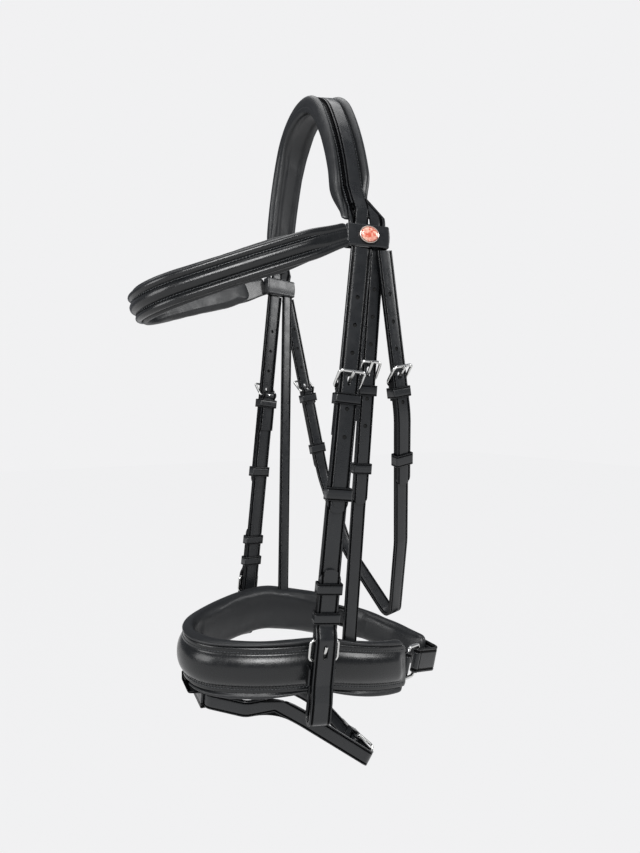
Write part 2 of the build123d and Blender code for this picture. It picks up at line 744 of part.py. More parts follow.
with BuildPart() as throatlatch:
    add(path_band(throat_plane, throat_path, inner_radii, strap_thickness, strap_width))
    for frame in (near_throat, far_throat):
        chape, chape_cut = chape_strap(frame, bar_down, strap_face, strap_thickness, strap_width,
                                       throat_chape)
        add(chape)
        add(chape_cut, mode=Mode.SUBTRACT)
save(throatlatch.part, "throatlatch")
for side, frame, lower, runner_down in (
        ("near", near_throat, near_lower, throat_near_runner),
        ("far", far_throat, far_throat, throat_far_runner)):
    bar_plane = buckle_plane(frame, bar_down, strap_face - eye_bore - eye_leather,
                             throat_frame_tilt)
    save(buckle_frame(bar_plane, strap_width), f"{side}_throat_buckle")
    save(buckle_tongue(bar_plane), f"{side}_throat_tongue")
    save(keeper_ring(frame, bar_down + keeper_below_bar, strap_face - chape_depth,
                     strap_thickness, strap_width, keeper_length), f"{side}_throat_keeper")
    save(keeper_ring(lower, runner_down, strap_face - strap_thickness, strap_thickness,
                     strap_width, runner_length), f"{side}_throat_runner")

# ---------------------------------------------------------------- noseband
tilt = radians(nose_slope)
nose_plane = Plane(origin=(nose_middle, 0, -loop_drop - nose_drop),
                   x_dir=(cos(tilt), 0, sin(tilt)), z_dir=(-sin(tilt), 0, cos(tilt)))
nose_plan = Plane(origin=nose_plane.origin, x_dir=(1, 0, 0), z_dir=(0, 0, 1))
side_start = -nose_middle
nose_curve = ((side_start, nose_half_width), 0.0, nose_front - nose_middle, nose_front_radius)
nose_side_radius = u_curve_arcs(*nose_curve)[0][1]
rear_turn = degrees(atan2(side_start - nose_rear_end, nose_side_radius))
nose_level = nose_plane.origin.Z + (nose_knee - nose_middle) * tan(tilt)
nose_profile = [(nose_knee - nose_front, nose_level - nose_front * tan(tilt)),
                (nose_knee, nose_level), (nose_knee + nose_front, nose_level)]


def nose_wall(shift, thickness, height, turn):
    """A U-shaped wall of the noseband that falls towards the chin behind its knee."""
    with BuildPart() as wall:
        add(u_band(nose_plan, nose_curve, shift, thickness, 2 * nose_front, rear_turn=turn))
        add(path_band(Plane.XZ, nose_profile, [nose_knee_radius], height, 2 * nose_front),
            mode=Mode.INTERSECT)
    return wall.part


hanger_start = loop_middle + forward * hanger_offset + outward * (
    -headstrap_gap - headstrap_thickness)
leather_inner = nose_half_width - nose_leather - 0.3
twist_room = narrow_width / 2 * sin(radians(side_splay)) + 0.2
near_foot = Vector(hanger_foot_x, leather_inner - twist_room, -loop_drop - hanger_foot_drop)
far_foot = near_foot - Vector(0, headstrap_thickness, 0)
near_hang = face_frame(hanger_start, near_foot - hanger_start, outward)
far_hang = face_frame(hanger_start, far_foot - hanger_start, outward)
hanger_length = (near_foot - hanger_start).length
save(billet(near_hang, headstrap_thickness, narrow_width, 1.0, hanger_tip, hanger_bar,
            hanger_tilt, 3, 2), "near_headstrap_billet")


def plain_strap(frame, inner, thickness, top, low):
    """A straight strap with square ends, as wide as the noseband's hangers."""
    with BuildPart() as strap:
        with BuildSketch(shifted(frame, out=inner)):
            with Locations((0, (top + low) / 2)):
                Rectangle(narrow_width, low - top)
        extrude(amount=thickness)
    return strap.part


chape, chape_cut = chape_strap(near_hang, hanger_bar, strap_face, headstrap_thickness,
                               narrow_width, hanger_chape)
with BuildPart() as near_hanger:
    add(plain_strap(near_hang, strap_face - headstrap_thickness, headstrap_thickness,
                    hanger_bar, hanger_length))
    add(chape)
    add(chape_cut, mode=Mode.SUBTRACT)
save(near_hanger.part, "near_noseband_hanger")
far_strap = mirrored(plain_strap(far_hang, 0.0, headstrap_thickness, 1.0, hanger_length))
save(far_strap, "far_noseband_hanger")
hang_buckle = buckle_plane(near_hang, hanger_bar, strap_face - eye_bore - eye_leather,
                           hanger_tilt)
save(buckle_frame(hang_buckle, narrow_width), "hanger_buckle")
save(buckle_tongue(hang_buckle), "hanger_tongue")
save(keeper_ring(near_hang, hanger_bar + keeper_below_bar, strap_face - 2 * headstrap_thickness,
                 headstrap_thickness, narrow_width, keeper_length), "hanger_keeper")
save(keeper_ring(near_hang, hanger_tip - hanger_runner_rise, strap_face - headstrap_thickness,
                 headstrap_thickness, narrow_width, keeper_length), "hanger_runner")

with BuildPart() as noseband:
    add(nose_wall(-nose_leather / 2, nose_leather, nose_height, rear_turn))
    add(nose_wall(nose_crown / 2, nose_crown, nose_height - 14.0, rear_turn - 1.0))
save(noseband.part, "noseband")
near_room = plain_strap(near_hang, strap_face - headstrap_thickness - 0.2,
                        headstrap_thickness + 1.0, hanger_foot_drop - pad_room, hanger_length + 2.0)
far_room = mirrored(plain_strap(far_hang, -0.2, headstrap_thickness + 1.0,
                                hanger_foot_drop - pad_room, hanger_length + 2.0))
with BuildPart() as nose_pad:
    add(nose_wall(-nose_leather - nose_padding / 2, nose_padding, nose_pad_height, rear_turn))
    add(near_room, mode=Mode.SUBTRACT)
    add(far_room, mode=Mode.SUBTRACT)
save(nose_pad.part, "noseband_padding")

# chin pad, crank strap and its ring
crank_points = [(-60.0, -81.4), (-80.0, -75.0), (-110.0, -52.0), (-130.0, -10.0),
                (-140.0, 49.0), (-107.0, 56.6)]
ring_front = (-80.0, 67.0)
ring_rear = (-103.0, 55.5)
ring_bore = crank_wire + 0.4
ring_eye = ring_bore + eye_leather
with BuildPart() as crank_strap:
    add(path_band(nose_plane, crank_points, [30.0, 40.0, 40.0, 9.0], strap_thickness,
                  crank_width))
    with BuildSketch(nose_plane):
        with Locations(ring_rear):
            Circle(ring_eye)
    extrude(amount=crank_width / 2, both=True)
    with BuildSketch(nose_plane):
        with Locations(ring_rear):
            Circle(ring_bore)
    extrude(amount=crank_width, both=True, mode=Mode.SUBTRACT)
    add(noseband.part, mode=Mode.SUBTRACT)
    add(nose_pad.part, mode=Mode.SUBTRACT)
save(crank_strap.part, "crank_strap")
lug_root = (-66.0, 71.6)
with BuildPart() as crank_lug:
    add(straight_band(nose_plane, lug_root, ring_front, nose_leather, crank_width))
    with BuildSketch(nose_plane):
        with Locations(ring_front):
            Circle(ring_eye)
    extrude(amount=crank_width / 2, both=True)
    with BuildSketch(nose_plane):
        with Locations(ring_front):
            Circle(ring_bore)
    extrude(amount=crank_width, both=True, mode=Mode.SUBTRACT)
    add(noseband.part, mode=Mode.SUBTRACT)
    add(nose_pad.part, mode=Mode.SUBTRACT)
save(crank_lug.part, "crank_lug")
chin_points = [(-82.0, -61.0), (-104.0, -44.5), (-121.5, -8.0), (-131.0, 36.0)]
with BuildPart() as chin_pad:
    add(path_band(nose_plane, chin_points, [35.0, 40.0], chin_thickness, chin_height))
save(chin_pad.part, "chin_pad")

ring_way = Vector(ring_rear[0] - ring_front[0], ring_rear[1] - ring_front[1])
ring_centre = on_plane(nose_plane, (ring_front[0] + ring_rear[0]) / 2,
                       (ring_front[1] + ring_rear[1]) / 2)
ring_across = nose_plane.x_dir * ring_way.X + nose_plane.y_dir * ring_way.Y
ring_plane = Plane(origin=ring_centre, x_dir=nose_plane.z_dir,
                   z_dir=nose_plane.z_dir.cross(ring_across))
save(wire_ring(ring_plane, crank_ring_height, ring_way.length, crank_wire, 4.5), "crank_ring")

# keepers and buckle on the crank strap behind the chin
crank_head = on_plane(nose_plane, *crank_points[2])
crank_frame = shifted(face_frame(crank_head, on_plane(nose_plane, *crank_points[3]) - crank_head,
                                 -nose_plane.x_dir), out=-strap_thickness / 2)
with BuildPart() as crank_keepers:
    for place in (14.0, 34.0):
        add(keeper_ring(crank_frame, place, 0.0, strap_thickness, crank_width, 8.0,
                        leather=1.5))
save(crank_keepers.part, "crank_keepers")

# ---------------------------------------------------------------- flash strap
dip = radians(flash_slope)
lean = atan2(flash_knee[1], flash_front - flash_knee[0])
flash_plane = Plane(origin=(flash_front, 0, -loop_drop - flash_drop),
                    x_dir=(cos(lean), 0, sin(lean)), z_dir=(-sin(lean), 0, cos(lean)))
knee_point = (flash_knee[0], -loop_drop - flash_drop - flash_knee[1])
chin_plane = Plane(origin=(knee_point[0], 0, knee_point[1]),
                   x_dir=(cos(dip), 0, sin(dip)), z_dir=(-sin(dip), 0, cos(dip)))
leg_reach = flash_knee_radius * tan((dip - lean) / 2)
leg_front = flash_knee[0] - flash_front + leg_reach
leg_end = leg_reach + flash_lap
leg_points = [(knee_point[0] + leg_end * cos(lean), knee_point[1] + leg_end * sin(lean)),
              knee_point,
              (knee_point[0] - leg_end * cos(dip), knee_point[1] - leg_end * sin(dip))]
shoulder = flash_shoulder - flash_front
front_points = [(leg_front, -flash_side), (shoulder, -flash_side), (0.0, -flash_front_half),
                (0.0, flash_front_half), (shoulder, flash_side), (leg_front, flash_side)]
chin_inner = -flash_length + layer_step
far_points = [(chin_inner, flash_bar), (chin_inner, -flash_far_rear),
              (-flash_flare, -flash_side), (-leg_reach, -flash_side)]
near_points = [(-leg_reach, flash_side), (-flash_flare, flash_side), (-flash_length, flash_rear),
               (-flash_length, flash_tip)]
flash_start = on_plane(chin_plane, -flash_length, flash_bar + flash_head)
flash_frame = shifted(face_frame(flash_start, Vector(0, -1, 0), -chin_plane.x_dir),
                      out=-strap_thickness / 2)
chape, chape_cut = chape_strap(flash_frame, flash_head, strap_face, strap_thickness,
                               narrow_width, flash_chape)
flash_slot, _ = slot_cut(flash_frame, flash_head, strap_thickness, flash_tilt,
                                  flash_slot_play)
with BuildPart() as flash_strap:
    add(path_band(flash_plane, front_points, [flash_corner] * 4, strap_thickness, narrow_width))
    for side in (flash_side, -flash_side):
        add(path_band(Plane.XZ.offset(-side), leg_points, [flash_knee_radius - 0.05],
                      narrow_width, strap_thickness))
    add(path_band(chin_plane, far_points, [flash_far_radius, flash_flare_radius],
                  strap_thickness, narrow_width))
    add(path_band(chin_plane, near_points, [flash_flare_radius, flash_rear_radius],
                  strap_thickness, narrow_width))
    add(chape)
    add(chape_cut, mode=Mode.SUBTRACT)
    add(flash_slot, mode=Mode.SUBTRACT)
save(flash_strap.part, "flash_strap")
flash_buckle = buckle_plane(flash_frame, flash_head, strap_face - eye_bore - eye_leather,
                            flash_tilt)
with BuildPart() as flash_buckle_set:
    add(buckle_frame(flash_buckle, narrow_width))
    add(buckle_tongue(flash_buckle))
save(flash_buckle_set.part, "flash_buckle")
save(keeper_ring(flash_frame, flash_head + keeper_below_bar, strap_face - chape_depth,
                 strap_thickness, narrow_width, keeper_length), "flash_keeper")

# leather loop under the front of the noseband that carries the flash strap
front_frame = face_frame(flash_plane.origin, Vector(0, -1, 0), flash_plane.x_dir)
loop_half = strap_thickness / 2 + flash_play
loop_wall = flash_plane.x_dir * (loop_half + clearance + flash_loop_leather / 2)
tab_top = Vector(nose_front - nose_leather / 2, 0, nose_level - nose_height / 2)
tab_knee = tab_top - up * (nose_pad_height / 2 - nose_height / 2 + 5.5)
tab_foot = front_frame.origin + loop_wall + flash_plane.z_dir * 4.0
tab_points = [(corner.X, corner.Z) for corner in (tab_top, tab_knee, tab_foot)]
with BuildPart() as flash_loop:
    add(keeper_ring(front_frame, 0.0, -loop_half, loop_half, narrow_width + 2 * flash_play,
                    flash_loop_width, leather=flash_loop_leather))
    add(path_band(Plane.XZ, tab_points, [3.0], flash_loop_leather + 0.4, flash_tab_width))
save(flash_loop.part, "flash_loop")
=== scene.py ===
"""Snaffle bridle, dressed: padded headpiece, browband, cheeks, throatlatch, crank noseband, flash.

Each piece of the bridle is made by its own operator.  All lengths in this file are in
millimetres until a mesh is made, and the bridle hangs as on a horse's head: +X forward,
+Y to the horse's left, +Z up, with the origin at the poll seat.
"""
import json
from math import atan2, cos, degrees, radians, sin, sqrt, tan

import bmesh
import bpy
from mathutils import Matrix, Vector


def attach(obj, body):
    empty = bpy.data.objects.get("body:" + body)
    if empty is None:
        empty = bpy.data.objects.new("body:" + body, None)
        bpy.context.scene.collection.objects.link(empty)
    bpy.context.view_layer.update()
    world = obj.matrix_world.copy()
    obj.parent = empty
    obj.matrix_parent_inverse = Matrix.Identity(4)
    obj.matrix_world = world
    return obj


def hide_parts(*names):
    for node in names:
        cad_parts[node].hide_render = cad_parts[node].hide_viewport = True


bl_info = {
    "name": "Snaffle Bridle",
    "version": (1, 0, 0),
    "blender": (4, 5, 0),
    "location": "3D View > Sidebar > Bridle",
    "description": "Dresses a snaffle bridle with padding, stitching, leather and steel",
    "category": "Object",
}

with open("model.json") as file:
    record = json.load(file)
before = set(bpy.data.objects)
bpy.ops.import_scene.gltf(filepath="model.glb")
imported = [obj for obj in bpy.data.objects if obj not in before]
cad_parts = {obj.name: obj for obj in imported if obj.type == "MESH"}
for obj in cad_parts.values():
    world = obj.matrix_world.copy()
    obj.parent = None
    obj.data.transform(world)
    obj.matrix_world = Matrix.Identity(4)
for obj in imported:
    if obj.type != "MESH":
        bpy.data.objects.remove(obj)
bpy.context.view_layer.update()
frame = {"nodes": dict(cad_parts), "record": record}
BODY_OF = {node: body for body, nodes in frame["record"]["behaviour"]["bodies"].items()
           for node in nodes}

# ------------------------------------------------------------------ sizes of the bridle, mm
MM = 0.001
LOOP_DROP = 160.0
HALF_HEAD = 102.0
SPLAY = radians(12.0)
ARCH_FOOT = 14.0
ARCH_CURVE = ((50.0, 85.0), 10.0, 170.3, 60.0)
ARCH_LEAN = (HALF_HEAD - 85.0) / (50.0 - ARCH_FOOT)
CROWN_FORWARD = 6.0
PAD_FOOT = 18.0
ROLL_FEET = ((1, "front", 20.0, 44.0), (-1, "rear", 36.0, 30.0))
END_TOP = 38.0
END_HALF = 17.5
CROWN_HALF = 10.2
HOLE_REACH = 3.0
STOP_GRIP = 0.2 * MM
STOP_DEPTH = 0.6 * MM
FORWARD = Vector((cos(SPLAY), -sin(SPLAY), 0.0))
OUTWARD = Vector((sin(SPLAY), cos(SPLAY), 0.0))
UP = Vector((0.0, 0.0, 1.0))
BAND_SLOPE = radians(20.8)
BAND_START = Vector((19.437, 102.06))
BAND_CURVE = ((0.0, BAND_START.y), 12.0, (187.0 - BAND_START.x) / cos(BAND_SLOPE), 58.0)
CHEEK_LEAN = radians(5.9)
CHEEK_TURN = radians(6.0)
THROAT_TILT = radians(10.0)
NOSE_SLOPE = radians(15.2)
NOSE_MIDDLE = 5.0
NOSE_DROP = 403.0
NOSE_KNEE = (35.0, 120.0)
NOSE_CURVE = ((-5.0, 84.0), 0.0, 138.0, 52.0)
NOSE_REAR = -78.0
FLASH_LINE = [(150.0, -590.6), (66.0, -599.0), (-45.0, -685.7)]
FLASH_HALF = 7.0
CREASES = ((0.72, 0.0), (0.79, -0.5), (0.86, 0.0))
CREASE_SLACK = 0.012
# Height of a strap's face from its middle out to its edge: the bump, and also the mask of the
# painted shade in the creases.
STRAP_PROFILE = ((0.45, 0.95), (0.62, 0.8), (0.7, 0.1), (0.83, 0.05), (0.88, 0.6),
                 (0.95, 0.5))
THROAT_RUNS = {"near_throat_runner": (-32.0, -135.0)}
NEAR_THROAT_RUN = (-5.6, -152.7)
FAR_THROAT_RUN = (19.6, -232.7)
CRANK_RUN = (-20.0, 42.0)
HANGER_RUN = (16.4, 21.0, 392.0)
FILL_FRAMES = 20
FILL_PRESSURE = 4.0
CHIN_POINTS = [(-82.0, -61.0), (-104.0, -44.5), (-121.5, -8.0), (-131.0, 36.0)]


# ------------------------------------------------------------------ settings
class BridleSizes(bpy.types.PropertyGroup):
    """Sizes of the sewn and finished detail."""

    stitch_pitch: bpy.props.FloatProperty(
        name="Stitch pitch", description="Distance between stitches", default=0.0031,
        min=0.001, unit="LENGTH")
    thread: bpy.props.FloatProperty(
        name="Thread", description="Thickness of the sewing thread", default=0.0009,
        min=0.0002, unit="LENGTH")
    edge_round: bpy.props.FloatProperty(
        name="Edge rounding", description="Rounding of a strap's cut edges", default=0.0006,
        min=0.0, unit="LENGTH")
    nose_bulge: bpy.props.FloatProperty(
        name="Noseband bulge", description="How far the noseband's middle roll stands out",
        default=0.0058, min=0.0, unit="LENGTH")


class BridleColours(bpy.types.PropertyGroup):
    """Colours of the finishes."""

    leather: bpy.props.StringProperty(
        name="Strap leather", description="Colour of the strap leather, sRGB hex",
        default="121315")
    padding: bpy.props.StringProperty(
        name="Padding leather", description="Colour of the soft leather, sRGB hex",
        default="131416")
    steel: bpy.props.StringProperty(
        name="Steel", description="Colour of the buckles, sRGB hex", default="d6d6d4")
    enamel: bpy.props.StringProperty(
        name="Enamel", description="Colour of the rosettes, sRGB hex", default="c8563f")
    backdrop: bpy.props.StringProperty(
        name="Backdrop", description="Colour behind the bridle, sRGB hex", default="f1f1f2")


# ------------------------------------------------------------------ nodes and finishes
def linear(code):
    """Linear colour of an sRGB hex value."""
    parts = [int(code[i:i + 2], 16) / 255 for i in (0, 2, 4)]
    return tuple(p / 12.92 if p <= 0.04045 else ((p + 0.055) / 1.055) ** 2.4
                 for p in parts) + (1.0,)


def add_node(tree, kind, inputs=(), **settings):
    """Add a node with its settings, input values and incoming links."""
    made = tree.nodes.new(kind)
    for key, value in settings.items():
        setattr(made, key, value)
    for socket, value in dict(inputs).items():
        if isinstance(value, bpy.types.NodeSocket):
            tree.links.new(value, made.inputs[socket])
        else:
            made.inputs[socket].default_value = value
    return made


def new_finish(name):
    """An empty node material and its tree."""
    finish = bpy.data.materials.new(name)
    finish.use_nodes = True
    finish.node_tree.nodes.clear()
    return finish, finish.node_tree


def leather_finish(name, dark, light, grain, crease, sheen_low, sheen_high, depth):
    """Drum-dyed bovine leather: a fine pebble, faint creases, an uneven waxed shine, and painted
    shade darkening the pressed creases and cut edges.
    """
    finish, tree = new_finish(name)
    place = add_node(tree, "ShaderNodeTexCoord").outputs["Object"]
    pebble = add_node(tree, "ShaderNodeTexVoronoi",
                      {"Vector": place, "Scale": 1000.0 / grain, "Randomness": 1.0},
                      feature="SMOOTH_F1")
    folds = add_node(tree, "ShaderNodeTexNoise",
                     {"Vector": place, "Scale": 1000.0 / crease, "Detail": 5.0,
                      "Roughness": 0.6})
    wear = add_node(tree, "ShaderNodeTexNoise",
                    {"Vector": place, "Scale": 1000.0 / 38.0, "Detail": 3.0})
    tone = add_node(tree, "ShaderNodeMix", {"Factor": wear.outputs["Fac"], "A": linear(dark),
                                            "B": linear(light)}, data_type="RGBA")
    shine = add_node(tree, "ShaderNodeMapRange",
                     {"Value": folds.outputs["Fac"], "From Min": 0.3, "From Max": 0.7,
                      "To Min": sheen_low, "To Max": sheen_high})
    height = add_node(tree, "ShaderNodeMath",
                      {0: pebble.outputs["Distance"], 1: folds.outputs["Fac"]},
                      operation="ADD")
    across = add_node(tree, "ShaderNodeAttribute", attribute_name="across")
    side = add_node(tree, "ShaderNodeMath", {0: across.outputs["Fac"]}, operation="ABSOLUTE")
    pressed = add_node(tree, "ShaderNodeFloatCurve", {"Value": side.outputs[0]})
    line = pressed.mapping.curves[0]
    line.points[0].location = (0.0, 1.0)
    line.points[1].location = (1.0, 0.12)
    for spot in STRAP_PROFILE:
        line.points.new(*spot)
    pressed.mapping.update()
    shape = add_node(tree, "ShaderNodeBump",
                     {"Height": pressed.outputs[0], "Strength": 1.0, "Distance": 0.0011})
    # Painted shade: where the pressed profile is low, in the creases and at the cut edges, the
    # colour is mixed toward near black 040405.
    crease_shade_share = add_node(tree, "ShaderNodeMapRange",
                     {"Value": pressed.outputs[0], "From Min": 0.05, "From Max": 0.6,
                      "To Min": 0.0, "To Max": 1.0})
    painted_crease_shade = add_node(tree, "ShaderNodeMix",
                     {"Factor": crease_shade_share.outputs[0], "A": linear("040405"),
                      "B": tone.outputs["Result"]}, data_type="RGBA")
    relief = add_node(tree, "ShaderNodeBump",
                      {"Height": height.outputs[0], "Strength": depth, "Distance": 0.0002,
                       "Normal": shape.outputs[0]})
    gleam = add_node(tree, "ShaderNodeMapRange",
                     {"Value": pressed.outputs[0], "From Min": 0.05, "From Max": 0.7,
                      "To Min": 0.03, "To Max": 0.52})
    shader = add_node(tree, "ShaderNodeBsdfPrincipled",
                      {"Base Color": painted_crease_shade.outputs["Result"], "Roughness": shine.outputs[0],
                       "Normal": relief.outputs[0], "IOR": 1.5,
                       "Specular IOR Level": gleam.outputs[0]})
    add_node(tree, "ShaderNodeOutputMaterial", {"Surface": shader.outputs[0]})
    return finish


def steel_finish(name, colour):
    """Polished stainless steel: mirror bright with faint polishing haze."""
    finish, tree = new_finish(name)
    place = add_node(tree, "ShaderNodeTexCoord").outputs["Object"]
    haze = add_node(tree, "ShaderNodeTexNoise", {"Vector": place, "Scale": 400.0})
    rough = add_node(tree, "ShaderNodeMapRange",
                     {"Value": haze.outputs["Fac"], "To Min": 0.12, "To Max": 0.24})
    shader = add_node(tree, "ShaderNodeBsdfPrincipled",
                      {"Base Color": linear(colour), "Metallic": 1.0,
                       "Roughness": rough.outputs[0]})
    add_node(tree, "ShaderNodeOutputMaterial", {"Surface": shader.outputs[0]})
    return finish


def enamel_finish(name, colour):
    """Poured enamel: swirled copper reds under a clear glossy coat."""
    finish, tree = new_finish(name)
    place = add_node(tree, "ShaderNodeTexCoord").outputs["Object"]
    swirl = add_node(tree, "ShaderNodeTexNoise",
                     {"Vector": place, "Scale": 190.0, "Detail": 1.5, "Distortion": 1.6})
    tint = add_node(tree, "ShaderNodeValToRGB", {"Fac": swirl.outputs["Fac"]})
    ramp = tint.color_ramp
    ramp.elements[0].position = 0.40
    ramp.elements[0].color = linear(colour)
    ramp.elements[1].position = 0.66
    ramp.elements[1].color = linear("e9c3ae")
    shader = add_node(tree, "ShaderNodeBsdfPrincipled",
                      {"Base Color": tint.outputs["Color"], "Roughness": 0.25,
                       "Coat Weight": 1.0, "Coat Roughness": 0.05})
    add_node(tree, "ShaderNodeOutputMaterial", {"Surface": shader.outputs[0]})
    return finish


def thread_finish(name, colour):
    """Waxed polyester thread: slightly paler and glossier than the leather round it."""
    finish, tree = new_finish(name)
    place = add_node(tree, "ShaderNodeTexCoord").outputs["Object"]
    twist = add_node(tree, "ShaderNodeTexNoise", {"Vector": place, "Scale": 2500.0})
    tone = add_node(tree, "ShaderNodeMix",
                    {"Factor": twist.outputs["Fac"], "A": linear(colour),
                     "B": linear("3a3d40")}, data_type="RGBA")
    shader = add_node(tree, "ShaderNodeBsdfPrincipled",
                      {"Base Color": tone.outputs["Result"], "Roughness": 0.45})
    add_node(tree, "ShaderNodeOutputMaterial", {"Surface": shader.outputs[0]})
    return finish


FINISHES = {}


def finish_for(slot):
    """The finish of a material slot, made once."""
    colours = bpy.context.scene.bridle_colours
    if slot not in FINISHES:
        makers = {
            "strap_leather": lambda: leather_finish(
                "waxed_bridle_leather", colours.leather, "1e2022", 0.9, 9.0, 0.22, 0.36, 0.2),
            "glazed_leather": lambda: leather_finish(
                "glazed_padded_leather", "0b0c0d", "121416", 0.9, 9.0, 0.2, 0.32, 0.2),
            "padding_leather": lambda: leather_finish(
                "soft_nappa_padding", colours.padding, "1a1c1e", 1.3, 14.0, 0.34, 0.5, 0.35),
            "steel": lambda: steel_finish("polished_stainless_steel", colours.steel),
            "rosette_rim": lambda: steel_finish("polished_rosette_rim", "d9c9c0"),
            "rosette_enamel": lambda: enamel_finish("poured_enamel", colours.enamel),
            "thread": lambda: thread_finish("waxed_thread", "26282a"),
            # Painted shade: near-black finish for the stops in the punched holes.
            "hole_shade": lambda: leather_finish(
                "painted_hole_shade", "050505", "070707", 0.9, 9.0, 0.8, 0.9, 0.05),
        }
        FINISHES[slot] = makers[slot]()
    return FINISHES[slot]


# ------------------------------------------------------------------ making a piece
def finish_piece(piece, body, slot, nodes=(), finish=None):
    """Give a finished mesh its finish, from its slot or the finish named, and its body; hide the
    CAD parts it stands for.
    """
    piece.data.materials.clear()
    piece.data.materials.append(finish_for(finish or slot))
    if nodes:
        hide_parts(*nodes)
    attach(piece, body)
    return piece


def placed(name, mesh):
    """A new object with a mesh, in the scene."""
    piece = bpy.data.objects.new(name, mesh)
    bpy.context.scene.collection.objects.link(piece)
    return piece


def baked(piece):
    """Turn an object with modifiers into a plain mesh object at the origin."""
    graph = bpy.context.evaluated_depsgraph_get()
    mesh = bpy.data.meshes.new_from_object(piece.evaluated_get(graph))
    mesh.name = piece.name
    piece.modifiers.clear()
    piece.data = mesh
    return piece


def shell(name, rings, levels=1, closed=False):
    """A smooth solid through rings of points, with its ends closed."""
    count = len(rings[0])
    verts = [point * MM for ring in rings for point in ring]
    faces = []
    spans = len(rings) if closed else len(rings) - 1
    for i in range(spans):
        a, b = i * count, ((i + 1) % len(rings)) * count
        for j in range(count):
            k = (j + 1) % count
            faces.append((a + j, a + k, b + k, b + j))
    if not closed:
        for ring, start in ((rings[0], 0), (rings[-1], (len(rings) - 1) * count)):
            verts.append(sum(ring, Vector()) * MM / count)
            for j in range(count):
                faces.append((start + j, start + (j + 1) % count, len(verts) - 1))
    mesh = bpy.data.meshes.new(name)
    mesh.from_pydata(verts, [], faces)
    work = bmesh.new()
    work.from_mesh(mesh)
    bmesh.ops.recalc_face_normals(work, faces=work.faces)
    work.to_mesh(mesh)
    work.free()
    mesh.shade_smooth()
    piece = placed(name, mesh)
    if levels:
        smooth = piece.modifiers.new("smooth", "SUBSURF")
        smooth.levels = levels
        smooth.render_levels = levels
        baked(piece)
    return piece


def plump(pad, reach):
    """Fill a soft piece by cloth pressure, moving no point further than reach, in metres."""
    start = [vert.co.copy() for vert in pad.data.vertices]
    cloth = pad.modifiers.new("fill", "CLOTH")
    cloth.settings.use_pressure = True
    cloth.settings.uniform_pressure_force = FILL_PRESSURE
    cloth.settings.effector_weights.gravity = 0.0
    cloth.collision_settings.use_collision = False
    for step in range(1, FILL_FRAMES + 1):
        bpy.context.scene.frame_set(step)
    baked(pad)
    bpy.context.scene.frame_set(1)
    for vert, here in zip(pad.data.vertices, start):
        move = vert.co - here
        if move.length > reach:
            vert.co = here + move * (reach / move.length)
    pad.data.shade_smooth()
    return pad


def rounded(piece, width, segments, sharper_than):
    """Round an object's edges that turn by more than an angle in degrees, and bake it."""
    edge = piece.modifiers.new("edge", "BEVEL")
    edge.width = width
    edge.segments = segments
    edge.limit_method = "ANGLE"
    edge.angle_limit = radians(sharper_than)
    level = piece.modifiers.new("level", "WEIGHTED_NORMAL")
    level.keep_sharp = True
    return baked(piece)


def side_ways(hand):
    """Forward along a side of the head and outward from it; hand is 1 near and -1 far."""
    return (Vector((FORWARD.x, FORWARD.y * hand, 0.0)),
            Vector((OUTWARD.x, OUTWARD.y * hand, 0.0)))


def strap_ways(node):
    """Direction down a strap and direction across its face, for a node of the bridle."""
    hand = -1.0 if node.startswith("far") else 1.0
    _, out = side_ways(hand)
    if "throat" in node:
        across = Vector((cos(THROAT_TILT), 0.0, -sin(THROAT_TILT)))
        rise = Vector((sin(THROAT_TILT), 0.0, cos(THROAT_TILT)))
        run = THROAT_RUNS.get(node, NEAR_THROAT_RUN) if hand > 0 else FAR_THROAT_RUN
        return (Vector((0.0, run[0], 0.0)) + rise * run[1]).normalized(), across
    if node.startswith("crank"):
        along = Vector((cos(NOSE_SLOPE), 0.0, sin(NOSE_SLOPE)))
        down = along * CRANK_RUN[0] + Vector((0.0, CRANK_RUN[1], 0.0))
        return down.normalized(), Vector((-sin(NOSE_SLOPE), 0.0, cos(NOSE_SLOPE)))
    if node == "flash_keeper":
        return Vector((0.0, -1.0, 0.0)), Vector((0.0, 0.0, 1.0))
    if "hanger" in node or "headstrap" in node:
        ahead, aside, drop = HANGER_RUN
        down = Vector((ahead, -aside * hand, -drop)).normalized()
    else:
        way = Vector((cos(CHEEK_TURN), -sin(CHEEK_TURN) * hand, 0.0))
        down = way * sin(CHEEK_LEAN) - UP * cos(CHEEK_LEAN)
    return down, down.cross(out).normalized()


def across_flash(point):
    """Place across the flash strap, from -1 to 1, by its distance from the side line."""
    front, knee, rear = (Vector(corner) for corner in FLASH_LINE)
    spot = Vector((point.x, point.z)) / MM
    gaps = []
    for here, there in ((knee, front), (rear, knee)):
        way = (there - here).normalized()
        gaps.append((spot - here).dot(Vector((-way.y, way.x))))
    return max(gaps) / FLASH_HALF


def across_end(spot):
    """Distance of a spot from the middle of the end leather, forward along its face."""
    return spot.x * FORWARD.x + (abs(spot.y) - HALF_HEAD) * FORWARD.y


def across_headpiece(point):
    """Place across the crown leather, or across its end leather near a loop."""
    spot = point / MM
    if spot.z > -LOOP_DROP + END_TOP - 1.0:
        return (spot.x - CROWN_FORWARD) / CROWN_HALF
    return across_end(spot) / END_HALF


def narrow_ends(work):
    """Draw the top corners of the wide ends in to the edges of the crown leather."""
    for vert in work.verts:
        spot = vert.co / MM
        across = across_end(spot)
        if abs(spot.z + LOOP_DROP - END_TOP) < 4.0 and abs(across) > END_HALF - 1.0:
            aim = CROWN_FORWARD + (CROWN_HALF if across > 0 else -CROWN_HALF)
            vert.co += side_ways(1.0 if spot.y > 0 else -1.0)[0] * ((aim - across) * MM)


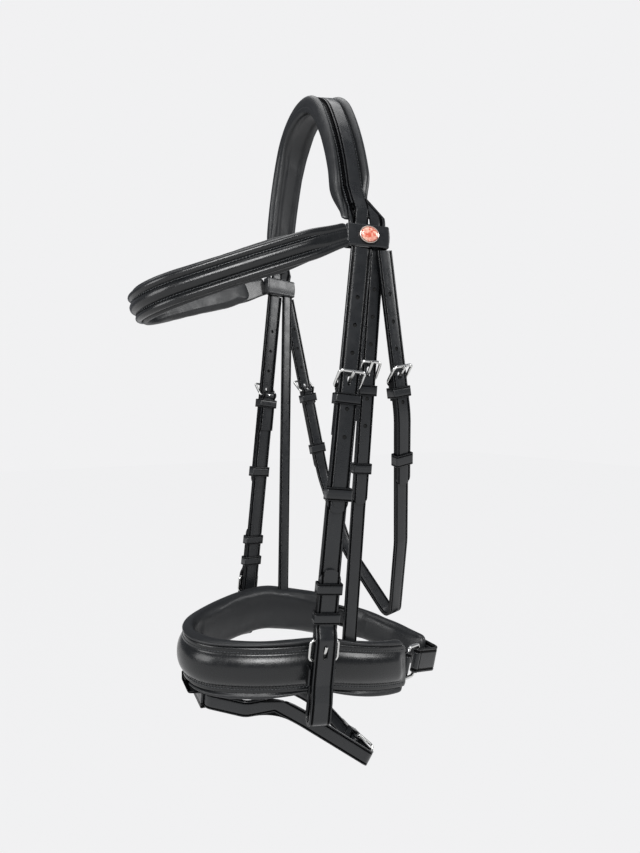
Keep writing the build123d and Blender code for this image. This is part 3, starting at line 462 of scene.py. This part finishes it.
def hole_rings(work):
    """Centre, axis and radius of each punched hole of a strap, in metres."""
    rings, seen = [], set()
    for start in work.faces:
        if start in seen:
            continue
        ring, todo = [], [start]
        while todo:
            face = todo.pop()
            if face in seen or len(face.verts) != 4:
                continue
            seen.add(face)
            ring.append(face)
            for edge in face.edges:
                for other in edge.link_faces:
                    if other is not face and 0.01 < other.normal.angle(face.normal, 0) < 0.7:
                        todo.append(other)
        if len(ring) < 8:
            continue
        centre = sum((face.calc_center_median() for face in ring), Vector()) / len(ring)
        reach = [(face.calc_center_median() - centre) for face in ring]
        inward = all(way.dot(face.normal) < 0 for way, face in zip(reach, ring))
        radius = max(way.length for way in reach)
        if inward and radius < HOLE_REACH * MM:
            axis = ring[0].normal.cross(ring[len(ring) // 4].normal)
            rings.append((centre, axis.normalized(), radius))
    return rings


def fill_holes(node, rings):
    """Painted shade: near-black stops halfway down the punched holes, where no light reaches."""
    work = bmesh.new()
    for centre, axis, radius in rings:
        turn = axis.to_track_quat("Z", "Y").to_matrix().to_4x4()
        bmesh.ops.create_cone(work, cap_ends=True, segments=16, radius1=radius + STOP_GRIP,
                              radius2=radius + STOP_GRIP, depth=STOP_DEPTH,
                              matrix=Matrix.Translation(centre) @ turn)
    mesh = bpy.data.meshes.new(f"{node}_hole_shade_stops")
    work.to_mesh(mesh)
    work.free()
    finish_piece(placed(mesh.name, mesh), BODY_OF[node], "strap_leather", finish="hole_shade")


def flash_cuts():
    """Planes of the two creases along both runs of the flash strap."""
    front, knee, rear = (Vector(corner) for corner in FLASH_LINE)
    cuts = []
    for here, there in ((knee, front), (rear, knee)):
        way = (there - here).normalized()
        side = Vector((-way.y, 0.0, way.x))
        for share, _ in CREASES:
            for sign in (1, -1):
                spot = Vector((knee.x, 0.0, knee.y)) + side * (FLASH_HALF * share * sign)
                cuts.append((spot * MM, side))
    return cuts


def press_creases(work, cuts, place):
    """Cut a strap along its crease lines and press the middle line of each into the face."""
    for spot, normal in cuts:
        bmesh.ops.bisect_plane(work, geom=work.verts[:] + work.edges[:] + work.faces[:],
                               dist=1e-7, plane_co=spot, plane_no=normal)
    work.normal_update()
    moves = []
    for vert in work.verts:
        for share, depth in CREASES:
            if depth and abs(abs(place(vert.co)) - share) < CREASE_SLACK:
                moves.append((vert, vert.normal.normalized() * (depth * MM)))
    for vert, move in moves:
        vert.co += move


def dressed(node, width=None, slot="strap_leather", segments=2, lines=None, grooved=False,
            shape=None):
    """A CAD piece with its cut edges rounded over, and its place across for the creases."""
    if width is None:
        width = bpy.context.scene.bridle_sizes.edge_round
    mesh = frame["nodes"][node].data.copy()
    work = bmesh.new()
    work.from_mesh(mesh)
    bmesh.ops.remove_doubles(work, verts=work.verts, dist=2e-6)
    bmesh.ops.dissolve_limit(work, angle_limit=radians(2.0), verts=work.verts,
                             edges=work.edges)
    if shape:
        shape(work)
    work.normal_update()
    rings = hole_rings(work) if grooved else []
    if rings:
        fill_holes(node, rings)
    place = lines
    if lines is not None and not callable(lines):
        spread = [vert.co.dot(lines) for vert in work.verts]
        middle, half = (max(spread) + min(spread)) / 2, (max(spread) - min(spread)) / 2

        def place(point):
            return (point.dot(lines) - middle) / half

        if grooved:
            cuts = [(lines * (middle + sign * share * half), lines)
                    for share, _ in CREASES for sign in (1, -1)]
            press_creases(work, cuts, place)
    elif grooved:
        press_creases(work, flash_cuts(), place)
    work.to_mesh(mesh)
    work.free()
    if lines is not None:
        places = [place(vert.co) for vert in mesh.vertices]
        mesh.attributes.new("across", "FLOAT", "POINT").data.foreach_set("value", places)
    piece = placed(f"{node}_dressed", mesh)
    mesh.shade_smooth()
    rounded(piece, width, segments, sharper_than=40.0)
    return finish_piece(piece, BODY_OF[node], slot, [node])


# ------------------------------------------------------------------ curves
def u_arcs(start, inward, front, front_radius):
    """Side arc and front arc of a half U: centre, radius, first and last angle."""
    normal = Vector((-sin(radians(inward)), -cos(radians(inward))))
    front_centre = Vector((front - front_radius, 0.0))
    gap = Vector(start) - front_centre
    side_radius = (front_radius ** 2 - gap.dot(gap)) / (2 * (normal.dot(gap) + front_radius))
    side_centre = Vector(start) + normal * side_radius
    joint = front_centre - side_centre
    meet = degrees(atan2(joint.y, joint.x))
    begin = degrees(atan2(start[1] - side_centre.y, start[0] - side_centre.x))
    return (side_centre, side_radius, begin, meet), (front_centre, front_radius, meet, 0.0)


def u_line(curve, rear_turn=0.0, step=5.0, lead=()):
    """Points and outward normals along a U, from the near end round to the far end."""
    side, nose = u_arcs(*curve)
    half = [(Vector(point), Vector(normal)) for point, normal in lead]
    for (centre, radius, begin, end), extra in ((side, rear_turn), (nose, 0.0)):
        begin = begin + extra
        count = max(3, int(radians(begin - end) * radius / step))
        for i in range(count + (1 if end == 0.0 else 0)):
            angle = radians(begin + (end - begin) * i / count)
            normal = Vector((cos(angle), sin(angle)))
            half.append((centre + normal * radius, normal))
    far = [(Vector((p.x, -p.y)), Vector((n.x, -n.y))) for p, n in reversed(half[:-1])]
    return half + far


def lengths(line):
    """Distance along a line of points at each of them."""
    run = [0.0]
    for (here, _), (there, _) in zip(line, line[1:]):
        run.append(run[-1] + (there - here).length)
    return run


def round_corners(points, radii, step=3.0):
    """Straight runs joined by arcs: points and left-hand normals along them."""
    points = [Vector(p) for p in points]
    out = [points[0]]
    for before, here, after, radius in zip(points, points[1:], points[2:], radii):
        way_in, way_out = (here - before).normalized(), (after - here).normalized()
        turn = atan2(way_in.cross(way_out) if len(here) == 2 else 0.0, way_in.dot(way_out))
        reach = radius * tan(abs(turn) / 2)
        first = here - way_in * reach
        side = Vector((-way_in.y, way_in.x)) * (1 if turn > 0 else -1)
        centre = first + side * radius
        count = max(2, int(abs(turn) * radius / step))
        for i in range(count + 1):
            angle = turn * i / count
            spoke = first - centre
            out.append(centre + Vector((spoke.x * cos(angle) - spoke.y * sin(angle),
                                        spoke.x * sin(angle) + spoke.y * cos(angle))))
    out.append(points[-1])
    dense = [out[0]]
    for here, there in zip(out, out[1:]):
        count = max(1, int((there - here).length / step))
        dense += [here.lerp(there, (i + 1) / count) for i in range(count)]
    line = []
    for i, point in enumerate(dense):
        way = (dense[min(i + 1, len(dense) - 1)] - dense[max(i - 1, 0)]).normalized()
        line.append((point, Vector((-way.y, way.x))))
    return line


def ease(value):
    """Smooth step from 0 to 1."""
    value = min(1.0, max(0.0, value))
    return value * value * (3 - 2 * value)


def end_round(distance, reach):
    """Share of full size near a rounded end."""
    share = min(1.0, max(0.0, distance / reach))
    return max(0.12, sqrt(1 - (1 - share) ** 2))


# ------------------------------------------------------------------ planes of the bridle
def sloped(start, slope, point, height):
    """A place on a plane that falls forward by a slope, raised square to it."""
    along = Vector((cos(slope), 0.0, -sin(slope)))
    above = Vector((sin(slope), 0.0, cos(slope)))
    return start + along * point.x + Vector((0.0, point.y, 0.0)) + above * height


def band_place(point, height=0.0):
    """Browband plane to the bridle's frame."""
    return sloped(Vector((BAND_START.x, 0.0, -LOOP_DROP)), BAND_SLOPE, point, height)


def nose_side(x):
    """Height of the noseband's middle and its slope at a place along the head."""
    knee, radius = NOSE_KNEE
    level = -LOOP_DROP - NOSE_DROP + (knee - NOSE_MIDDLE) * tan(NOSE_SLOPE)
    reach = radius * tan(NOSE_SLOPE / 2)
    if x > knee + reach:
        return level, 0.0
    if x < knee - reach * cos(NOSE_SLOPE):
        return level - (knee - x) * tan(NOSE_SLOPE), NOSE_SLOPE
    back = knee + reach - x
    fall = radius - sqrt(radius ** 2 - back ** 2)
    return level - fall, atan2(back, radius - fall)


def chin_place(point, height):
    """Plane of the chin pad and crank strap to the bridle's frame."""
    return sloped(Vector((NOSE_MIDDLE, 0.0, -LOOP_DROP - NOSE_DROP)), -NOSE_SLOPE, point,
                  height)


def arch_place(point, normal, across, out):
    """Headpiece arch to the bridle's frame: across is forward, out is away from the poll."""
    x = CROWN_FORWARD + across
    out = out - x * tan(SPLAY)
    return Vector((x, point.y + normal.y * out, -LOOP_DROP + point.x + normal.x * out))


def arch_line(foot, step=5.0):
    """The headpiece's line over the poll, from the near foot to the far foot."""
    low = Vector((foot, HALF_HEAD - (foot - ARCH_FOOT) * ARCH_LEAN))
    high = Vector(ARCH_CURVE[0])
    way = (high - low).normalized()
    square = Vector((-way.y, way.x))
    square = square if square.y > 0 else -square
    count = max(1, int((high - low).length / step))
    lead = [(low.lerp(high, i / count), square) for i in range(count)]
    return u_line(ARCH_CURVE, step=step, lead=lead)


def mirrored(half):
    """A section symmetric about height 0, from its upper half listed outside to inside."""
    return half + [(-h, d) for h, d in reversed(half) if h]


def outlined(line, place, section, ends=0.0):
    """Rings of a section carried along a line; section gives (height, out) at a distance."""
    run = lengths(line)
    total = run[-1]
    rings = []
    for (point, normal), far in zip(line, run):
        near_end = min(far, total - far)
        shape = section(near_end)
        size = 1.0 if not ends else end_round(near_end, ends)
        middle = (sum(h for h, _ in shape) / len(shape), sum(d for _, d in shape) / len(shape))
        ring = []
        for height, out in shape:
            height = middle[0] + (height - middle[0]) * (1 - (1 - size) * 0.45)
            out = middle[1] + (out - middle[1]) * size
            ring.append(place(point, normal, height, out))
        rings.append(ring)
    return rings


def on_band(point, normal, height, out):
    """Browband line to the bridle's frame."""
    return band_place(point + normal * out, height)


def on_nose(point, normal, height, out):
    """Noseband line to the bridle's frame, following its bend at the knee."""
    spot = point + normal * out
    middle, slope = nose_side(NOSE_MIDDLE + spot.x)
    return Vector((NOSE_MIDDLE + spot.x, spot.y, middle + height / cos(slope)))


def on_chin(point, normal, height, out):
    """Chin pad line to the bridle's frame."""
    return chin_place(point + normal * out, height)


# ------------------------------------------------------------------ stitches
def stitch_tree():
    """Geometry nodes that sew stitches along lines."""
    if "sewn_stitches" in bpy.data.node_groups:
        return bpy.data.node_groups["sewn_stitches"]
    tree = bpy.data.node_groups.new("sewn_stitches", "GeometryNodeTree")
    face = tree.interface
    face.new_socket("Lines", in_out="INPUT", socket_type="NodeSocketGeometry")
    for label, value in (("Pitch", 0.0031), ("Thread", 0.0009), ("Gap", 0.0007)):
        socket = face.new_socket(label, in_out="INPUT", socket_type="NodeSocketFloat")
        socket.default_value = value
    face.new_socket("Finish", in_out="INPUT", socket_type="NodeSocketMaterial")
    face.new_socket("Stitches", in_out="OUTPUT", socket_type="NodeSocketGeometry")
    given = add_node(tree, "NodeGroupInput").outputs
    curve = add_node(tree, "GeometryNodeMeshToCurve", {"Mesh": given["Lines"]})
    spaced = add_node(tree, "GeometryNodeResampleCurve",
                      {"Curve": curve.outputs[0], "Length": given["Pitch"]}, mode="LENGTH")
    half = add_node(tree, "ShaderNodeMath", {0: given["Pitch"], 1: given["Gap"]},
                    operation="SUBTRACT")
    reach = add_node(tree, "ShaderNodeMath", {0: half.outputs[0], 1: 0.5},
                     operation="MULTIPLY")
    thick = add_node(tree, "ShaderNodeMath", {0: given["Thread"], 1: 0.5},
                     operation="MULTIPLY")
    size = add_node(tree, "ShaderNodeCombineXYZ",
                    {"X": thick.outputs[0], "Y": thick.outputs[0], "Z": reach.outputs[0]})
    bead = add_node(tree, "GeometryNodeMeshUVSphere",
                    {"Segments": 6, "Rings": 5, "Radius": 1.0})
    way = add_node(tree, "GeometryNodeInputTangent")
    turn = add_node(tree, "FunctionNodeAlignRotationToVector",
                    {"Vector": way.outputs[0]}, axis="Z")
    sewn = add_node(tree, "GeometryNodeInstanceOnPoints",
                    {"Points": spaced.outputs[0], "Instance": bead.outputs[0],
                     "Rotation": turn.outputs[0], "Scale": size.outputs[0]})
    real = add_node(tree, "GeometryNodeRealizeInstances", {"Geometry": sewn.outputs[0]})
    done = add_node(tree, "GeometryNodeSetMaterial",
                    {"Geometry": real.outputs[0], "Material": given["Finish"]})
    add_node(tree, "NodeGroupOutput", {"Stitches": done.outputs[0]})
    return tree


def sew(name, body, lines):
    """Sew rows of stitches along lines of points, in millimetres."""
    sizes = bpy.context.scene.bridle_sizes
    verts, edges = [], []
    for line in lines:
        start = len(verts)
        verts += [point * MM for point in line]
        edges += [(i, i + 1) for i in range(start, len(verts) - 1)]
    mesh = bpy.data.meshes.new(name)
    mesh.from_pydata(verts, edges, [])
    piece = placed(name, mesh)
    tree = stitch_tree()
    sewing = piece.modifiers.new("sewing", "NODES")
    sewing.node_group = tree
    values = {"Pitch": sizes.stitch_pitch, "Thread": sizes.thread,
              "Finish": finish_for("thread")}
    for item in tree.interface.items_tree:
        if item.in_out == "INPUT" and item.name in values:
            sewing[item.identifier] = values[item.name]
    baked(piece)
    piece.data.shade_smooth()
    return finish_piece(piece, body, "strap_leather", finish="thread")


# ------------------------------------------------------------------ operators
class BRIDLE_OT_headpiece(bpy.types.Operator):
    """Crown leather, headstrap and the padding with its two rolls"""

    bl_idname = "bridle.headpiece"
    bl_label = "Headpiece"

    def execute(self, context):
        body = "headpiece_body"
        line = arch_line(PAD_FOOT)

        def inner_pad(distance):
            share = ease(distance / 44.0)
            half = [(0.0, -0.5), (7.0, -0.5), (13.0, -0.6), (17.0, -1.6), (18.4, -4.4),
                    (17.4, -8.0), (14.0, -10.2), (10.0, -9.8), (7.0, -8.0), (4.5, -7.6),
                    (0.0, -7.4)]
            half = [(h * (0.86 + 0.14 * share), -0.4 + (d + 0.4) * (0.3 + 0.7 * share))
                    for h, d in half]
            return mirrored(half)

        pad = shell("headpiece_padding_soft", outlined(line, arch_place, inner_pad), levels=1)
        finish_piece(plump(pad, 0.0016), body, "padding_leather", ["headpiece_padding"])
        for side, name, foot, taper in ROLL_FEET:
            def roll(distance, side=side, taper=taper):
                share = ease(distance / taper)
                wide, high = 1.7 + 2.6 * share, 1.2 + 5.6 * share
                shape = []
                for k in range(14):
                    angle = radians(360.0 * k / 14)
                    shape.append((side * (12.4 + 2.4 * share) + wide * cos(angle),
                                  1.4 * share - 0.6 + high * sin(angle)))
                return shape

            made = shell(f"headpiece_{name}_roll", outlined(
                arch_line(foot), arch_place, roll, ends=6.0))
            finish_piece(plump(made, 0.0008), body, "padding_leather")
        dressed("headpiece", lines=across_headpiece, shape=narrow_ends)
        dressed("noseband_headstrap", width=0.0009, segments=3, lines=Vector((1.0, 0.0, 0.0)),
                grooved=True)
        rows = [[arch_place(p, n, sign * 9.2, 3.4) for p, n in line[2:-2]] for sign in (1, -1)]
        sew("headpiece_stitches", body, rows)
        return {"FINISHED"}


class BRIDLE_OT_browband(bpy.types.Operator):
    """Browband with three rolls, its loops and its soft lining"""

    bl_idname = "bridle.browband"
    bl_label = "Browband"

    def execute(self, context):
        body = "browband_body"
        line = u_line(BAND_CURVE, step=5.0)
        full = [(0.0, 5.2), (2.8, 4.7), (4.9, 2.7), (5.9, 0.6), (7.0, 2.2), (9.4, 3.7),
                (11.8, 2.9), (13.3, 1.0), (13.4, -1.2), (12.4, -2.0), (6.0, -2.0), (0.0, -2.0)]

        def band(distance):
            share = ease((distance - 16.0) / 26.0)
            wide = 0.78 + 0.22 * ease((distance - 4.0) / 34.0)
            half = []
            for h, d in full:
                flat = min(d, 2.0) if d > -1.2 else d
                half.append((h * wide, flat + (d - flat) * share))
            return mirrored(half)

        strap = shell("browband_leather", outlined(line, on_band, band), levels=1)
        finish_piece(strap, body, "strap_leather", finish="glazed_leather")
        dressed_loop = loops_of_browband()
        finish_piece(dressed_loop, body, "strap_leather", ["browband"])
        soft = [entry for entry, far in zip(line, lengths(line))
                if band_place(entry[0]).x > 44.0]

        def lining(distance):
            half = [(0.0, -2.2), (9.0, -2.2), (13.4, -2.3), (15.4, -2.4), (16.2, -4.6),
                    (15.0, -7.6), (11.5, -9.2), (8.6, -8.6), (4.5, -8.7), (0.0, -9.0)]
            share = 0.78 + 0.22 * ease(distance / 40.0)
            half = [(h * share, d) for h, d in half]
            return mirrored(half)

        pad = shell("browband_lining", outlined(soft, on_band, lining, ends=10.0), levels=1)
        plump(pad, 0.0014)
        finish_piece(pad, body, "padding_leather", ["browband_padding"])
        rows = [[on_band(p, n, sign * 5.95, 1.75) for p, n in line[6:-6]]
                for sign in (1, -1)]
        sew("browband_stitches", body, rows)
        return {"FINISHED"}


def loops_of_browband():
    """Both loops of the browband as rounded leather rings."""
    rings = []
    for hand in (1, -1):
        across, out = side_ways(hand)
        middle = Vector((0.0, HALF_HEAD * hand, -LOOP_DROP)) + out * -0.4
        stations = []
        half_w, half_d, leather = 19.3, 4.1, 2.3
        path = [(-half_w, -half_d), (half_w, -half_d), (half_w, half_d), (-half_w, half_d)]
        ring = []
        for i in range(4):
            x, y = path[i]
            x0, y0 = path[i - 1]
            x1, y1 = path[(i + 1) % 4]
            for px, py in ((x0, y0), (x1, y1)):
                way = Vector((px - x, py - y)).normalized()
                ring.append(Vector((x, y)) + way * 1.0)
        for point in ring:
            lean = Vector((point.x / half_w * 0.7, point.y / half_d)).normalized()
            section = []
            for h, d in ((9.9, 0.0), (9.9, leather - 0.9), (8.4, leather), (7.6, leather - 0.3),
                         (4.0, leather + 0.3), (0.0, leather + 0.5), (-4.0, leather + 0.3),
                         (-7.6, leather - 0.3), (-8.4, leather), (-9.9, leather - 0.9),
                         (-9.9, 0.0)):
                spot = point + lean * d
                section.append(middle + across * spot.x + out * spot.y + UP * h)
            stations.append(section)
        rings.append(stations)
    first = shell("browband_loops", rings[0], levels=0, closed=True)
    second = shell("browband_loop_far", rings[1], levels=0, closed=True)
    work = bmesh.new()
    work.from_mesh(first.data)
    work.from_mesh(second.data)
    bmesh.ops.recalc_face_normals(work, faces=work.faces)
    work.to_mesh(first.data)
    work.free()
    bpy.data.objects.remove(second)
    return rounded(first, 0.7 * MM, 3, sharper_than=30.0)


class BRIDLE_OT_rosettes(bpy.types.Operator):
    """Enamelled rosettes with bright rims"""

    bl_idname = "bridle.rosettes"
    bl_label = "Rosettes"

    def execute(self, context):
        for side, hand in (("near", 1), ("far", -1)):
            across, out = side_ways(hand)
            seat = Vector((0.0, HALF_HEAD * hand, -LOOP_DROP)) + out * 6.1
            for name, profile, slot in (
                ("bezel", [(0.0, 0.0), (9.3, 0.0), (9.6, 0.8), (9.4, 2.0), (8.9, 2.7),
                           (8.3, 2.3), (8.2, 0.9), (0.0, 0.9)], "rosette_rim"),
                ("inlay", [(0.0, 0.8), (8.1, 0.8), (8.1, 1.9), (7.4, 2.6), (5.0, 3.1),
                           (2.5, 3.35), (0.0, 3.4)], "rosette_enamel")):
                rings = []
                for r, d in profile:
                    tall = max(r - 1.5, 0.8 * r, 0.02)
                    ring = [seat + out * d + across * (max(r, 0.02) * cos(radians(a)))
                            + UP * (tall * sin(radians(a))) for a in range(0, 360, 12)]
                    rings.append(ring)
                piece = shell(f"{side}_rosette_{name}_lathe", rings, levels=1)
                finish_piece(piece, "browband_body", slot, [f"{side}_rosette_{name}"])
        return {"FINISHED"}


class BRIDLE_OT_straps(bpy.types.Operator):
    """Billets, cheekpieces, throatlatch and hangers with rounded edges"""

    bl_idname = "bridle.straps"
    bl_label = "Straps"

    def execute(self, context):
        for side in ("near", "far"):
            for part in ("cheek_billet", "cheekpiece", "bit_chape", "throat_billet",
                         "noseband_hanger"):
                node = f"{side}_{part}"
                dressed(node, width=0.0008, lines=strap_ways(node)[1], grooved=True)
        for node in ("near_headstrap_billet", "throatlatch", "crank_strap", "crank_lug"):
            dressed(node, width=0.0008, lines=strap_ways(node)[1],
                    grooved=node != "throatlatch")
        for node in ("flash_strap", "flash_loop"):
            dressed(node, width=0.0008, lines=across_flash, grooved=node == "flash_strap")
        return {"FINISHED"}


class BRIDLE_OT_keepers(bpy.types.Operator):
    """Fixed keepers and sliding runners"""

    bl_idname = "bridle.keepers"
    bl_label = "Keepers and runners"

    def execute(self, context):
        for node in sorted(frame["nodes"]):
            if node.endswith(("_keeper", "_runner", "_keepers")):
                dressed(node, width=0.0009, segments=4, lines=strap_ways(node)[0])
        return {"FINISHED"}


class BRIDLE_OT_steel(bpy.types.Operator):
    """Buckle frames, tongues and the crank ring"""

    bl_idname = "bridle.steel"
    bl_label = "Steel"

    def execute(self, context):
        for node in sorted(frame["nodes"]):
            if node.endswith("_tongue"):
                dressed(node, width=0.0005, slot="steel", segments=3)
            elif node.endswith("_buckle") or node == "crank_ring":
                dressed(node, width=0.0001, slot="steel")
        return {"FINISHED"}


class BRIDLE_OT_noseband(bpy.types.Operator):
    """Crank noseband with its bulging middle roll, its padding and the chin pad"""

    bl_idname = "bridle.noseband"
    bl_label = "Noseband"

    def execute(self, context):
        body = "noseband_body"
        bulge = context.scene.bridle_sizes.nose_bulge * 1000
        (_, radius, _, _), _ = u_arcs(*NOSE_CURVE)
        turn = degrees(atan2(-5.0 - NOSE_REAR, radius))
        line = u_line(NOSE_CURVE, rear_turn=turn, step=5.0)
        full = [(0.0, bulge), (5.0, bulge * 0.95), (9.5, bulge * 0.72), (12.6, bulge * 0.4),
                (14.2, 0.7), (15.0, 0.1), (18.0, 0.2), (20.4, 0.0), (21.0, -1.4),
                (20.6, -3.0), (10.0, -3.0), (0.0, -3.0)]

        def leather(distance):
            share = ease((distance - 4.0) / 12.0)
            half = []
            for h, d in full:
                flat = min(d, 0.2)
                half.append((h, flat + (d - flat) * share))
            return mirrored(half)

        strap = shell("noseband_leather", outlined(line, on_nose, leather), levels=1)
        finish_piece(strap, body, "strap_leather", ["noseband"], "glazed_leather")

        def lining(distance):
            half = [(0.0, -3.2), (12.0, -3.2), (20.6, -3.2), (21.4, -1.6), (22.6, 0.6),
                    (24.6, 0.4), (25.8, -2.6), (25.6, -6.4), (23.6, -10.2), (19.0, -12.0),
                    (14.0, -11.4), (8.0, -11.8), (0.0, -12.2)]
            return mirrored(half)

        pad = shell("noseband_lining", outlined(line, on_nose, lining, ends=8.0), levels=1)
        plump(pad, 0.0016)
        finish_piece(pad, body, "padding_leather", ["noseband_padding"])
        chin = round_corners(CHIN_POINTS, [35.0, 40.0])

        def chin_section(distance):
            half = [(0.0, 5.0), (8.0, 5.0), (14.0, 4.8), (17.6, 3.6), (18.4, 0.0),
                    (17.0, -3.8), (13.0, -5.2), (6.0, -5.4), (0.0, -5.6)]
            return mirrored(half)

        chin_pad = shell("chin_pad_soft", outlined(chin, on_chin, chin_section, ends=8.0))
        plump(chin_pad, 0.0014)
        finish_piece(chin_pad, body, "padding_leather", ["chin_pad"])
        rows = [[on_nose(p, n, sign * 16.6, 0.35) for p, n in line[1:-1]]
                for sign in (1, -1)]
        sew("noseband_stitches", body, rows)
        return {"FINISHED"}


class BRIDLE_OT_stage(bpy.types.Operator):
    """Pale floor, soft studio light and the camera"""

    bl_idname = "bridle.stage"
    bl_label = "Stage"

    def execute(self, context):
        scene = context.scene
        pale = linear(scene.bridle_colours.backdrop)
        mesh = bpy.data.meshes.new("studio_floor")
        mesh.from_pydata([(-6, -6, -0.95), (6, -6, -0.95), (6, 6, -0.95), (-6, 6, -0.95)],
                         [], [(0, 1, 2, 3)])
        floor = placed("studio_floor", mesh)
        finish, tree = new_finish("pale_studio_paper")
        rays = add_node(tree, "ShaderNodeLightPath").outputs
        seen = add_node(tree, "ShaderNodeMath", {0: rays["Is Camera Ray"],
                                                 1: rays["Is Glossy Ray"]}, operation="MAXIMUM")
        paper = add_node(tree, "ShaderNodeBsdfDiffuse", {"Color": pale})
        glow = add_node(tree, "ShaderNodeEmission", {"Color": pale, "Strength": 1.0})
        soft = add_node(tree, "ShaderNodeMixShader", {0: 0.985, 1: paper.outputs[0],
                                                      2: glow.outputs[0]})
        both = add_node(tree, "ShaderNodeMixShader", {0: seen.outputs[0], 1: paper.outputs[0],
                                                      2: soft.outputs[0]})
        add_node(tree, "ShaderNodeOutputMaterial", {"Surface": both.outputs[0]})
        mesh.materials.append(finish)

        world = bpy.data.worlds.new("studio")
        scene.world = world
        world.use_nodes = True
        tree = world.node_tree
        tree.nodes.clear()
        rays = add_node(tree, "ShaderNodeLightPath").outputs
        seen = add_node(tree, "ShaderNodeMath", {0: rays["Is Camera Ray"],
                                                 1: rays["Is Transmission Ray"]},
                        operation="MAXIMUM")
        room = add_node(tree, "ShaderNodeBackground", {"Color": (0.9, 0.93, 1.0, 1.0),
                                                       "Strength": 0.24})
        back = add_node(tree, "ShaderNodeBackground", {"Color": pale, "Strength": 1.0})
        mixed = add_node(tree, "ShaderNodeMixShader", {0: seen.outputs[0], 1: room.outputs[0],
                                                       2: back.outputs[0]})
        add_node(tree, "ShaderNodeOutputWorld", {"Surface": mixed.outputs[0]})

        target = Vector((0.02, 0.0, -0.36))
        for name, place, size, power in (
                ("key_softbox", (0.9, 1.5, 0.55), 0.8, 30.0),
                ("front_softbox", (1.7, 0.2, 0.1), 0.9, 12.0),
                ("rear_softbox", (-1.3, 0.9, 0.4), 0.7, 12.0),
                ("top_softbox", (0.1, -0.2, 1.5), 1.3, 14.0)):
            lamp = bpy.data.lights.new(name, "AREA")
            lamp.size = size
            lamp.energy = power
            holder = bpy.data.objects.new(name, lamp)
            holder.location = place
            way = target - Vector(place)
            holder.rotation_euler = way.to_track_quat("-Z", "Y").to_euler()
            scene.collection.objects.link(holder)

        turn = radians(27.77)
        eye = bpy.data.cameras.new("studio_camera")
        eye.lens = 20.71
        eye.sensor_width = 36.0
        eye.shift_y = -0.013
        eye.clip_start = 0.01
        camera = bpy.data.objects.new("studio_camera", eye)
        right = Vector((-cos(turn), sin(turn), 0.0))
        back_way = Vector((sin(turn), cos(turn), 0.0))
        camera.matrix_world = Matrix((
            (right.x, 0.0, back_way.x, 0.2476),
            (right.y, 0.0, back_way.y, 0.4808),
            (right.z, 1.0, back_way.z, -0.3235),
            (0.0, 0.0, 0.0, 1.0)))
        scene.collection.objects.link(camera)
        scene.camera = camera
        scene.view_settings.view_transform = "Standard"
        return {"FINISHED"}


class BRIDLE_PT_panel(bpy.types.Panel):
    """Lists the bridle's pieces"""

    bl_label = "Snaffle bridle"
    bl_idname = "BRIDLE_PT_panel"
    bl_space_type = "VIEW_3D"
    bl_region_type = "UI"
    bl_category = "Bridle"

    def draw(self, context):
        for name in ("stitch_pitch", "thread", "edge_round", "nose_bulge"):
            self.layout.prop(context.scene.bridle_sizes, name)
        for name in ("leather", "padding", "steel", "enamel", "backdrop"):
            self.layout.prop(context.scene.bridle_colours, name)
        for operator in OPERATORS:
            self.layout.operator(operator.bl_idname)


OPERATORS = (BRIDLE_OT_headpiece, BRIDLE_OT_browband, BRIDLE_OT_rosettes, BRIDLE_OT_straps,
             BRIDLE_OT_keepers, BRIDLE_OT_steel, BRIDLE_OT_noseband, BRIDLE_OT_stage)
CLASSES = (BridleSizes, BridleColours) + OPERATORS + (BRIDLE_PT_panel,)


def register():
    for item in CLASSES:
        bpy.utils.register_class(item)
    bpy.types.Scene.bridle_sizes = bpy.props.PointerProperty(type=BridleSizes)
    bpy.types.Scene.bridle_colours = bpy.props.PointerProperty(type=BridleColours)


def unregister():
    del bpy.types.Scene.bridle_colours
    del bpy.types.Scene.bridle_sizes
    for item in reversed(CLASSES):
        bpy.utils.unregister_class(item)


def main():
    """Register the bridle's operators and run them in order."""
    register()
    bpy.ops.bridle.headpiece()
    bpy.ops.bridle.browband()
    bpy.ops.bridle.rosettes()
    bpy.ops.bridle.straps()
    bpy.ops.bridle.keepers()
    bpy.ops.bridle.steel()
    bpy.ops.bridle.noseband()
    bpy.ops.bridle.stage()


if __name__ == "__main__":
    main()
